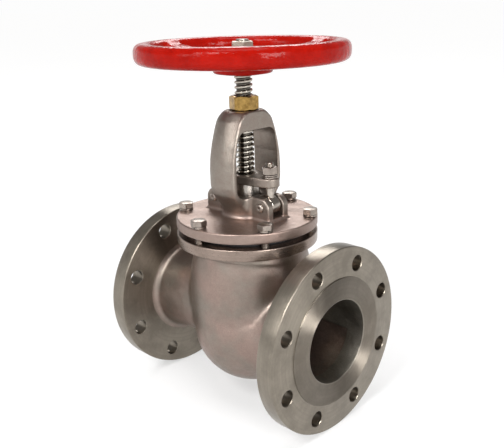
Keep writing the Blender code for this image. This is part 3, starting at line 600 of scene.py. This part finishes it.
def paint_bore(obj):
    """Give the wall of the pipe bore the second material of a piece."""
    for face in obj.data.polygons:
        if math.hypot(face.center.y, face.center.z - PIPE_Z * MM) < (BORE_R + 0.3) * MM:
            face.material_index = 1
    return obj


def tube_distance(x, y, z, start, end):
    """Distance off the line between two points of the middle plane, and how far along it, 0 to 1."""
    dx, dz = end[0] - start[0], end[1] - start[1]
    t = np.clip(((x - start[0]) * dx + (z - start[1]) * dz) / (dx * dx + dz * dz), 0.0, 1.0)
    return length(x - start[0] - t * dx, y, z - start[1] - t * dz), t


# Outline of the bowl above the globe, as (height, radius) from the lower edge up to the top flange.
BOWL_SHAPE = [(-12, 58), (-4, 66), (5, 71), (13, 73.6), (25, 74.9), (50, 74.9), (66, 73.8), (79, 71.0),
              (89, 68.4), (98, 67.5), (110, 67.5)]
BOWL_TILT = 0.12                            # the bowl's levels rise towards the inlet
BOWL_STRETCH = 0.90                         # below 1, the bowl is longer towards the inlet


def body_outside(x, y, z, off_in, t_in, off_out, t_out):
    """The cast body without its passages: bowl, globe, inlet tube, outlet neck and fillets."""
    level = z - BOWL_TILT * x
    bowl_rxy = length(np.where(x > 0.0, BOWL_STRETCH * x, x), y)
    bowl = (bowl_rxy - radius_at(BOWL_SHAPE, level, 4.0)) * 0.95
    bowl = np.maximum(smax(bowl, BOWL_SHAPE[0][0] - level, 6.0), z - 104.0)
    globe = length(x - GLOBE_X, y, z - GLOBE_Z) - GLOBE_R
    tube = np.maximum(off_in - (57.5 + 1.5 * t_in), x - NECK_START)
    neck = np.maximum(off_out - (NECK_R - 0.8 - 2.0 * t_out), np.maximum(x, -NECK_START - x))
    lower_body = smin(globe, tube, 20.0)
    shape = smin(bowl, neck, 6.0)
    shape = smin(shape, lower_body, 7.0)
    foot = np.maximum(length(x, y) - 74.0, np.abs(z - 95.0) - 3.5)
    shape = smin(shape, foot, 9.0)
    plate = FACE_X - FLANGE_T - np.abs(x)
    shape = np.where(shape < 8.5, smin(shape, plate, 9.0), shape)
    return np.maximum(shape, np.abs(x) - 123.4)


def body_hollow(x, y, z, off_in, off_out):
    """The passages: inlet below the bridge wall, seat bore through it, chamber and outlet above."""
    ryz, rxy = length(y, z), length(x, y)
    room = np.where(z > GLOBE_Z, rxy - CHAMBER_R, length(x, y, z - GLOBE_Z) - CHAMBER_R)
    upper = smax(room, BRIDGE_TOP - z, 4.0)
    lower = smax(room, z - BRIDGE_LOW, 4.0)
    bore_out = np.maximum(off_out - PASSAGE_R, x)
    bore_in = np.maximum(smin(ryz - BORE_R, off_in - PASSAGE_R, 6.0), -x)
    upper = smin(upper, smax(bore_out, BRIDGE_TOP - z, 4.0), 6.0)
    lower = smin(lower, smax(bore_in, z - BRIDGE_LOW, 4.0), 6.0)
    mouth_in = np.maximum(ryz - BORE_R, 76.0 - x)
    mouth_out = smin(np.maximum(ryz - BORE_R, x + 104.0), np.maximum(off_out - PASSAGE_R, x + 72.0), 4.0)
    hollow = np.minimum(np.minimum(upper, lower), np.minimum(mouth_in, mouth_out))
    seat_recess = np.maximum(rxy - 54.6, np.abs(z - 4.0) - 6.0)
    seat_bore = np.maximum(rxy - 48.6, np.abs(z) - 12.0)
    return np.minimum(hollow, np.minimum(seat_recess, seat_bore))


def body_field(low, high, voxel):
    x, y, z = field_grid(low, high, voxel)
    off_in, t_in = tube_distance(x, y, z, (122.0, 0.0), (GLOBE_X, GLOBE_Z))
    off_out, t_out = tube_distance(x, y, z, (-NECK_START, 0.0), (0.0, NECK_RISE))
    outside = body_outside(x, y, z, off_in, t_in, off_out, t_out)
    return np.maximum(outside, -body_hollow(x, y, z, off_in, off_out))


def build_body():
    low, high, voxel = (-125.0, -80.0, -96.0), (125.0, 80.0, 106.0), 1.1
    body = casting("valve_body_casting", body_field(low, high, voxel), low, voxel, [M_BODY, M_BORE_TONE_AND_LIGHT])
    add(paint_bore(body), "root", "cast_steel", "valve_body")
    for name, axis in (("inlet_flange", "x"), ("outlet_flange", "-x")):
        add(end_flange(name, axis), "root", "cast_steel")
    inner_r = 63.5
    points = [(inner_r, BODY_TOP_HIGH, 0.6), (COVER_R, BODY_TOP_HIGH, 1.2), (COVER_R, BODY_TOP_LOW, 1.6),
              (inner_r, BODY_TOP_LOW)]
    top = turned("body_top_flange", points, [M_COVER], 160)
    cut(top, hole_cutters(COVER_BOLTS, COVER_BOLT_DEG, COVER_BOLT_R, 5.2, BODY_TOP_LOW, BODY_TOP_HIGH, 0.4))
    add(top, "root", "cast_steel")


# ---- bonnet and yoke ---------------------------------------------------------------------
# Outline of the yoke arms, as (height, radius).
YOKE_SHAPE = [(129.0, 30.0), (139.0, 30.0), (145.0, 33.0), (152.0, 38.5), (160.0, 43.6), (171.0, 46.0),
              (189.1, 46.3), (204.4, 45.1), (220.7, 42.1), (237.0, 37.8), (249.2, 33.6), (253.8, 30.0),
              (257.6, 26.3), (259.8, 23.0), (262.0, 19.0)]


def rounded_box_2d(u, v, half_u, half_v, r):
    """Distance to a rectangle with corner radius r."""
    du, dv = np.abs(u) - (half_u - r), np.abs(v) - (half_v - r)
    outside = np.sqrt(np.maximum(du, 0.0) ** 2 + np.maximum(dv, 0.0) ** 2)
    return outside + np.minimum(np.maximum(du, dv), 0.0) - r


def bolt_holes(x, y, count, first_deg, circle_r, hole_r):
    """Distance to a ring of upright round holes."""
    step = 2 * math.pi / count
    turn = np.mod(np.arctan2(y, x) - math.radians(first_deg) + step / 2, step) - step / 2
    rxy = length(x, y)
    return length(rxy * np.cos(turn) - circle_r, rxy * np.sin(turn)) - hole_r


def slab(z, low, top):
    """Distance to the space between two levels."""
    return np.abs(z - (low + top) / 2) - (top - low) / 2


def yoke_outside(x, y, z, rxy):
    """Yoke arms, stuffing box, eyebolt lugs, cover and the spigot that goes into the body."""
    arms = (rxy - radius_at(YOKE_SHAPE, z, 1.5)) * 0.97
    arms = smax(arms, np.abs(x) - YOKE_HALF_T, 2.6)
    arms = smax(arms, z - YOKE_TOP, 2.4)
    arms = smax(arms, 141.0 - z, 3.0)
    box = np.maximum(rxy - BOX_R, z - BOX_TOP)
    shape = smin(arms, box, 5.0)
    end_x, half_x = PIN_X + 13.2, 22.0
    lug = rounded_box_2d(np.abs(x) - (end_x - half_x), z - 134.5, half_x, 24.5, 13.0)
    shape = smin(shape, smax(lug, np.abs(y) - LUG_HALF_Y, 2.4), 4.0)
    cover = smax(rxy - COVER_R, slab(z, COVER_LOW, COVER_TOP), 2.0)
    shape = smin(np.maximum(shape, 120.0 - z), cover, 5.0)
    shape = np.minimum(shape, np.maximum(rxy - 74.0, np.abs(z - 117.4) - 3.0))
    return np.minimum(shape, smax(rxy - 61.8, np.abs(z - 113.0) - 7.0, 1.2))


def stem_bores(z, rxy):
    """Packing chamber, stem hole, bush socket, backseat recess and the cone below it."""
    chamber = np.maximum(rxy - BOX_BORE_R, BOX_FLOOR - z)
    stem_hole = rxy - 11.7
    bush_socket = np.maximum(rxy - 14.4, 225.0 - z)
    backseat = np.maximum(rxy - 17.4, z - 122.1)
    cone = np.maximum((rxy - 20.0 - 2.1 * (112.0 - z)) * 0.43, z - 112.0)
    return chamber, stem_hole, bush_socket, backseat, cone


def yoke_field(low, high, voxel):
    x, y, z = field_grid(low, high, voxel)
    rxy = length(x, y)
    shape = yoke_outside(x, y, z, rxy)
    taper = WINDOW_HALF_Y - 4.5 * np.clip((z - 205.0) / 32.0, 0.0, 1.0)
    window_y = (y - 0.7) * WINDOW_HALF_Y / taper
    window = rounded_box_2d(window_y, z - WINDOW_Z, WINDOW_HALF_Y, WINDOW_HALF_H, 12.0)
    window = smax(window, np.abs(x) - 24.0, 6.0)
    shape = smax(shape, -window, 2.4)
    for bore in stem_bores(z, rxy):
        shape = np.maximum(shape, -bore)
    slot = np.maximum(np.maximum(np.abs(y) - EYE_HALF_T - 0.8, 29.0 - np.abs(x)), 134.0 - z)
    shape = smax(shape, -slot, 1.0)
    pin = length(np.abs(x) - PIN_X, z - PIN_Z) - 4.4
    shape = np.maximum(shape, -np.maximum(pin, 134.0 - z))
    return smax(shape, -bolt_holes(x, y, COVER_BOLTS, COVER_BOLT_DEG, COVER_BOLT_R, 5.6), 0.8)


def build_bonnet():
    low, high, voxel = (-90.0, -90.0, 104.0), (90.0, 90.0, 262.0), 0.8
    add(casting("bonnet_casting", yoke_field(low, high, voxel), low, voxel, [M_YOKE]), "root", "cast_steel",
        "bonnet_yoke")
    low, top = BODY_TOP_HIGH + GAP, 114.1
    points = [(64, low), (64, top), (74, top, 0.4), (74, low, 0.4)]
    add(turned("bonnet_gasket_ring", points, [M_GRAPHITE]), "root", "graphite", "bonnet_gasket")
    bore, outer, low, top = SLEEVE_BORE_R, 17.0, 112.0, 121.7
    points = [(bore, low, 0.8), (outer, low, 0.8), (outer, top, 0.5), (bore, top, 0.8)]
    add(turned("backseat_ring", points, [M_TURNED]), "root", "turned_steel", "backseat_bush")


def build_bolts():
    """Cover bolts on split washers, with their threads showing in the gap between the flanges."""
    washer_low = COVER_TOP + GAP
    head_low = washer_low + 2.4 + GAP
    for i in range(COVER_BOLTS):
        angle = math.radians(COVER_BOLT_DEG + 360 / COVER_BOLTS * i)
        at = np.array([COVER_BOLT_R * math.cos(angle), COVER_BOLT_R * math.sin(angle), 0.0])
        spin = math.degrees(0.21 + 0.37 * i)
        head = hex_verts(BOLT_AF, head_low, head_low + 6.6, spin_deg=spin, chamfer_low=False)
        shank_low, shank_top = BODY_TOP_LOW + 1, head_low + 1
        shank = thread_verts(BOLT_R, 4.15, BOLT_PITCH, shank_low, shank_top, (0.8, 0.0), 24, 12, 0.2)
        verts, faces = joined([head, shank])
        number = str(i + 1)
        add_mesh("cover_bolt_" + number, verts + at, faces, M_BRIGHT, "root", "bright_steel",
                 "bonnet_bolt_" + number)
        verts, faces = spring_washer_verts(washer_low, 1.95, 0.45, math.degrees(0.9 + i))
        add_mesh("cover_spring_washer_" + number, verts + at, faces, M_BRIGHT, "root", "bright_steel",
                 "bonnet_spring_washer_" + number)


def build_bush():
    """The brass stem nut: a hexagon on top of the yoke and a barrel inside it."""
    bore, low, top = STEM_R + GAP, 236.0, 262.0
    hexagon = hex_verts(31.0, YOKE_TOP + GAP, 276.7, bore, 36.8, crown=0.97)
    barrel = lathe_mesh(soften([(bore, low, 0.6), (14.0, low, 0.8), (14.0, top), (bore, top)]), 72)
    verts, faces = joined([hexagon, barrel])
    add_mesh("brass_yoke_bush", verts, faces, M_BRASS, "root", "brass", "yoke_bush")


# ---- gland and eyebolts ------------------------------------------------------------------
def gland_field(low, high, voxel):
    """A flat bar with a round hub and round ears, all three with a hole."""
    x, y, z = field_grid(low, high, voxel)
    ax, ay = np.abs(x), np.abs(y)
    lean = (GLAND_HUB_R - GLAND_EAR_R) / PIN_X
    cosine = math.sqrt(1.0 - lean * lean)
    along = ax * cosine - ay * lean
    side = ax * lean + ay * cosine - GLAND_HUB_R
    from_ear, from_hub = length(ax - PIN_X, y), length(x, y)
    ends = np.where(along < 0.0, from_hub - GLAND_HUB_R, side)
    plan = np.where(along > PIN_X * cosine, from_ear - GLAND_EAR_R, ends)
    plan = np.maximum(plan, 6.2 - from_ear)
    plan = np.maximum(plan, 11.6 - from_hub)
    return smax(plan, slab(z, GLAND_LOW, GLAND_TOP), 2.0)


def eyebolt_mesh(at):
    """Eye on the hinge pin, shank and thread."""
    bore, eye_r, half = 4.3, 11.2, EYE_HALF_T
    eye = [(bore, -half, 0.6), (eye_r, -half, 2.0), (eye_r, half, 2.0), (bore, half, 0.6)]
    verts, faces = lathe_mesh(soften(eye), 72)
    eye = to_axis(verts, "y", (0, 0, PIN_Z)), faces
    shank = [(0.0, PIN_Z + 8.0), (5.0, PIN_Z + 8.0), (5.0, 170.0, 0.6), (0.0, 170.0)]
    thread = thread_verts(BOLT_R, 4.2, BOLT_PITCH, 169.0, EYEBOLT_TOP, (0.0, 1.2), 32, 14, 0.2)
    verts, faces = joined([eye, lathe_mesh(soften(shank), 48), thread])
    return verts + at, faces


def build_gland():
    low, high, voxel = (-57.0, -22.0, 168.0), (57.0, 22.0, 185.0), 0.55
    add(casting("gland_bar", gland_field(low, high, voxel), low, voxel, [M_YOKE]), "gland", "turned_steel",
        "gland_flange")
    bore, outer = SLEEVE_BORE_R, 17.2
    low, top = PACKING_LOW + PACKING_COUNT * PACKING_PITCH + GAP, GLAND_LOW - GAP
    points = [(bore, low, 0.5), (outer, low, 0.5), (outer, top, 0.6), (bore, top, 0.5)]
    add(turned("gland_sleeve", points, [M_TURNED]), "gland", "turned_steel", "gland_follower")
    for number, side in (("1", 1), ("2", -1)):
        at = np.array([side * PIN_X, 0.0, 0.0])
        verts, faces = eyebolt_mesh(at)
        add_mesh("gland_eyebolt_" + number, verts, faces, M_EYEBOLT, "eyebolt_%s_body" % number,
                 "bright_steel", "eyebolt_" + number)
        seat = LUG_HALF_Y + GAP
        dome = [(0.0, seat + 2.2), (1.6, seat + 2.3), (2.6, seat + 2.7), (4.4, seat + 2.5),
                (5.4, seat + 1.6), (5.6, seat), (4.0, seat)]
        pin = dome + [(r, -z) for r, z in reversed(dome)]
        pin_at = (side * PIN_X, 0.0, PIN_Z)
        add(turned("hinge_pin_" + number, pin, [M_BRIGHT], 48, "y", pin_at, 50.0), "root", "bright_steel",
            "eyebolt_pin_" + number)
        washers = "gland_washers_%s_body" % number
        low, top = GLAND_TOP + GAP, GLAND_TOP + GAP + 1.6
        flat = [(WASHER_BORE_R, low, 0.3), (FLAT_WASHER_R, low, 0.4), (FLAT_WASHER_R, top, 0.4),
                (WASHER_BORE_R, top, 0.3)]
        add(turned("flat_washer_" + number, flat, [M_BRIGHT], 64, "z", at), washers, "bright_steel",
            "gland_washer_" + number)
        low = top + GAP
        verts, faces = spring_washer_verts(low, 1.6, 0.3, math.degrees(0.6 + side))
        add_mesh("gland_lock_washer_" + number, verts + at, faces, M_BRIGHT, washers, "bright_steel",
                 "gland_spring_washer_" + number)
        low += 2.2
        verts, faces = hex_verts(BOLT_AF, low, low + 9.0, 5.3, math.degrees(0.35 + side))
        add_mesh("hex_nut_" + number, verts + at, faces, M_BRIGHT, "gland_nut_%s_body" % number,
                 "bright_steel", "gland_nut_" + number)


# ---- stem, disc and handwheel ------------------------------------------------------------
def build_stem():
    """Head in the disc, plain shank with a backseat collar, lifting thread, square and end thread."""
    head_low, head_top = DISC_FACE + DISC_SOCKET + GAP, DISC_FACE + DISC_H - 9.3
    head_r, shank_r, collar_r = 15.5, 10.8, 15.0
    shank = [(0.0, head_low), (head_r, head_low, 1.0), (head_r, head_top, 0.6), (shank_r, head_top),
             (shank_r, 85.5, 0.6), (collar_r, 86.5, 0.6), (collar_r, 91.5, 0.6), (shank_r, 95.5),
             (shank_r, 177.0, 0.8), (8.9, 179.0), (0.0, 179.0)]
    lower = lathe_mesh(soften(shank), 72)
    thread = thread_verts(STEM_R, 8.7, LEAD, 178.0, 301.0, (1.0, 1.5), 64, 40, 0.3)
    square = prism_mesh(7.5, 4, 299.0, 322.0, SPOKE_DEG[0])
    tip = thread_verts(7.95, 7.0, 2.0, 321.0, 341.5, (0.0, 1.2), 48, 16, 0.2)
    verts, faces = joined([lower, thread, square, tip])
    stem = make_object("threaded_stem", verts, faces, [M_STEM], 40.0)
    add(stem, "stem_and_wheel", "bright_steel", "stem")


def prism_mesh(half, sides, low, high, turn_deg):
    """A regular prism, half across its flats, with small flats on its corners."""
    outline = []
    corner = 0.86 * math.tan(math.pi / sides)
    for i in range(sides):
        a = math.radians(turn_deg + 360 / sides * i)
        for s in (-corner, corner):
            outline.append((half * (math.cos(a) - s * math.sin(a)), half * (math.sin(a) + s * math.cos(a))))
    n = len(outline)
    verts = [(x, y, low) for x, y in outline] + [(x, y, high) for x, y in outline]
    faces = [[k, (k + 1) % n, n + (k + 1) % n, n + k] for k in range(n)]
    faces += [list(range(n))[::-1], list(range(n, 2 * n))]
    return np.array(verts), faces


def build_disc():
    """Disc with a coned edge, the nut that keeps the stem head in it, and the seat ring below."""
    face, top = DISC_FACE, DISC_FACE + DISC_H
    floor = face + DISC_SOCKET
    points = [(0.0, face), (50.0, face, 1.0), (53.5, face + 4.0, 1.0), (53.5, face + 11.0, 1.5),
              (50.0, face + 14.0, 1.5), (26.0, face + 19.0, 3.0), (26.0, top, 1.0), (17.4, top, 0.5),
              (17.4, floor), (0.0, floor)]
    add(turned("plug_disc", points, [M_TURNED], 128), "disc_assembly", "turned_steel", "disc")
    bore = STEM_R + GAP
    points = [(bore, top - 9.0), (17.0, top - 9.0), (17.0, top + GAP), (22.0, top + GAP, 0.4),
              (22.0, top + 6.0, 0.8), (bore, top + 6.0, 0.6)]
    add(turned("disc_lock_nut", points, [M_TURNED], 96), "disc_assembly", "turned_steel", "disc_nut")
    bore, low, top = 48.0, -1.7, 14.0
    points = [(bore, low), (54.0, low, 0.5), (54.0, BRIDGE_TOP), (51.5, BRIDGE_TOP, 0.8), (51.5, top, 0.6),
              (bore, top, 0.8)]
    add(turned("seat_insert", points, [M_TURNED], 128), "root", "turned_steel", "seat_ring")


def turned_about_z(x, y, deg):
    """Coordinates along and across a direction at deg from X."""
    a = math.radians(deg)
    return x * math.cos(a) + y * math.sin(a), -x * math.sin(a) + y * math.cos(a)


def wheel_field(low, high, voxel):
    """Rim of rounded section, hub and three cranked spokes, with a square hole for the stem."""
    x, y, z = field_grid(low, high, voxel)
    rxy = length(x, y)
    power = 2.6
    u, v = np.abs((rxy - (WHEEL_R - RIM_HALF_W)) / RIM_HALF_W), np.abs((z - RIM_Z) / RIM_HALF_H)
    rim = ((u ** power + v ** power) ** (1.0 / power) - 1.0) * RIM_HALF_W
    hub_disc = smax(rxy - HUB_R, np.abs(z - 308.0) - 5.2, 3.0)
    boss = rxy - radius_at([(300, 23.5), (317, 22.5), (324, 19.5)], z)
    hub = smin(hub_disc, smax(boss, np.abs(z - HUB_Z) - 11.0, 2.5), 5.0)
    spokes = None
    for deg in SPOKE_DEG:
        r, t = turned_about_z(x, y, deg)
        s = np.clip((r - 20.0) / (110.0 - 20.0), 0.0, 1.0)
        centre = HUB_Z + SPOKE_RISE * s * s * (3 - 2 * s)
        spoke = rounded_box_2d(t, (z - centre) * 0.95, SPOKE_HALF_W, SPOKE_HALF_T, 3.2)
        spoke = np.maximum(spoke, np.maximum(18.0 - r, r - 112.0))
        spokes = spoke if spokes is None else np.minimum(spokes, spoke)
    shape = smin(smin(rim, spokes, 7.0), hub, 6.0)
    along, across = turned_about_z(x, y, SPOKE_DEG[0])
    return np.maximum(shape, -np.maximum(np.abs(along) - 7.8, np.abs(across) - 7.8))


def build_wheel():
    low, high, voxel = (-129.0, -129.0, 300.0), (129.0, 129.0, 342.0), 1.0
    wheel = casting("red_handwheel", wheel_field(low, high, voxel), low, voxel, [M_RED])
    add(wheel, "stem_and_wheel", "red_paint", "handwheel")
    low, top, bore, outer = 324.3, 326.3, 8.4, 15.0
    points = [(bore, low, 0.3), (outer, low, 0.4), (outer, top, 0.4), (bore, top, 0.3)]
    washer = turned("wheel_washer", points, [M_BRIGHT], 72)
    add(washer, "stem_and_wheel", "bright_steel", "handwheel_washer")
    verts, faces = hex_verts(24.0, top + GAP, 339.3, 8.3, 20.0)
    add_mesh("wheel_nut", verts, faces, M_NUT, "stem_and_wheel", "bright_steel", "handwheel_nut")


def build_packing():
    """Three braided graphite rings, made as one piece with a mesh of its own."""
    bore, outer, fillet = SLEEVE_BORE_R, BOX_BORE_R - GAP, 0.8
    rings = []
    for i in range(PACKING_COUNT):
        low = PACKING_LOW + i * PACKING_PITCH
        top = low + PACKING_H
        section = [(bore, low, fillet), (outer, low, fillet), (outer, top, fillet), (bore, top, fillet)]
        rings.append(lathe_mesh(soften(section), 72))
    verts, faces = joined(rings)
    rings = make_object("graphite_packing_rings", verts, faces, [M_GRAPHITE])
    add(rings, "root", "graphite", "packing_ring_1", "packing_ring_2", "packing_ring_3")
    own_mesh(rings)


def paint_inner_nodes():
    """The sealed washer under the packing keeps its CAD shape and gets a finish."""
    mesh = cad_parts["packing_washer"].data
    mesh.materials.clear()
    mesh.materials.append(M_TURNED)


# ---- studio ------------------------------------------------------------------------------
LIGHT_TARGET = (0.0, 0.0, 0.2)
# name, place in metres, size in metres, power in watts
SOFTBOXES = [
    ("high_left_softbox", (0.32, -1.80, 1.95), (0.8, 0.8), 42.0),
    ("low_left_softbox", (-0.35, -2.30, 1.15), (0.9, 0.8), 15.0),
    ("right_softbox", (2.22, -0.60, 1.02), (0.9, 0.9), 46.0),
    ("back_softbox", (-1.6, 1.6, 1.9), (1.4, 1.0), 30.0),
    ("top_softbox", (0.2, -0.2, 2.6), (1.3, 1.3), 26.0),
]
# sine of the height above the horizon, colour there
SKY = [(0.11, (0.98, 0.98, 0.98, 1.0)), (0.27, (0.26, 0.255, 0.25, 1.0))]
FLOOR_HALF = 60.0
# distance from the valve in metres and strength of the floor's own light, near and far
GLOW_NEAR, GLOW_FAR = (0.7, 0.50), (3.0, 0.86)


def area_light(name, place, size, power):
    """A rectangular softbox aimed at the valve."""
    data = bpy.data.lights.new(name, "AREA")
    data.shape = "RECTANGLE"
    data.size, data.size_y = size
    data.energy = power
    obj = bpy.data.objects.new(name, data)
    obj.location = place
    obj.rotation_euler = (Vector(LIGHT_TARGET) - Vector(place)).to_track_quat("-Z", "Y").to_euler()
    bpy.context.scene.collection.objects.link(obj)
    return obj


def build_world():
    """A sky that is nearly white at the horizon and grey above."""
    world = bpy.data.worlds.new("studio_world")
    world.use_nodes = True
    tree = world.node_tree
    coords = tree.nodes.new("ShaderNodeTexCoord")
    split = tree.nodes.new("ShaderNodeSeparateXYZ")
    ramp = tree.nodes.new("ShaderNodeValToRGB")
    for element, (position, colour) in zip(ramp.color_ramp.elements, SKY):
        element.position = position
        element.color = colour
    tree.links.new(coords.outputs["Generated"], split.inputs[0])
    tree.links.new(split.outputs["Z"], ramp.inputs["Fac"])
    tree.links.new(ramp.outputs["Color"], tree.nodes["Background"].inputs["Color"])
    bpy.context.scene.world = world


def build_floor():
    """A large pale floor that glows a little more away from the valve."""
    n = Nodes("pale_floor", (0.42, 0.42, 0.42), 0.9, 0.0, Specular_IOR_Level=0.0,
              Emission_Color=(1.0, 1.0, 1.0, 1.0))
    reach = n.vector("LENGTH", n.place(), output="Value")
    glow = n.remap(reach, GLOW_NEAR[0], GLOW_FAR[0], GLOW_NEAR[1], GLOW_FAR[1])
    n.link(glow, n.shader.inputs["Emission Strength"])
    mat = n.finish(n.mix(n.noise(1.5, 2.0), (0.43, 0.43, 0.43), (0.41, 0.41, 0.41)))
    mesh = bpy.data.meshes.new("floor")
    corners = [(FLOOR_HALF * u, FLOOR_HALF * v, 0) for u, v in ((-1, -1), (1, -1), (1, 1), (-1, 1))]
    mesh.from_pydata(corners, [], [(0, 1, 2, 3)])
    mesh.materials.append(mat)
    floor = bpy.data.objects.new("floor", mesh)
    bpy.context.scene.collection.objects.link(floor)
    return floor


def build_studio():
    bpy.context.scene.view_settings.view_transform = "Standard"
    build_world()
    build_floor()
    [area_light(*softbox) for softbox in SOFTBOXES]


# place in metres, angles in radians: yaw from X, pitch above the level, roll about the view
CAMERA_PLACE = (0.591210, -0.586481, 0.498125)
CAMERA_YAW, CAMERA_PITCH, CAMERA_ROLL = 2.352999, -0.312239, -0.025793
LENS_MM = 49.419


def build_camera():
    """The camera at its place, turned by yaw, pitch and roll."""
    y, p, roll = CAMERA_YAW, CAMERA_PITCH, CAMERA_ROLL
    ahead = Vector((math.cos(p) * math.cos(y), math.cos(p) * math.sin(y), math.sin(p)))
    right = ahead.cross(Vector((0, 0, 1))).normalized()
    up = right.cross(ahead)
    c, s = math.cos(roll), math.sin(roll)
    right, up = c * right + s * up, -s * right + c * up
    data = bpy.data.cameras.new("camera")
    data.lens = LENS_MM
    data.sensor_width = 36.0
    data.clip_start, data.clip_end = 0.02, 60.0
    camera = bpy.data.objects.new("camera", data)
    turn = Matrix((right, up, -ahead)).transposed().to_4x4()
    camera.matrix_world = Matrix.Translation(CAMERA_PLACE) @ turn
    bpy.context.scene.collection.objects.link(camera)
    bpy.context.scene.camera = camera


build_body()
build_bonnet()
build_bolts()
build_bush()
build_gland()
build_stem()
build_disc()
build_wheel()
build_packing()
paint_inner_nodes()
build_studio()
build_camera()
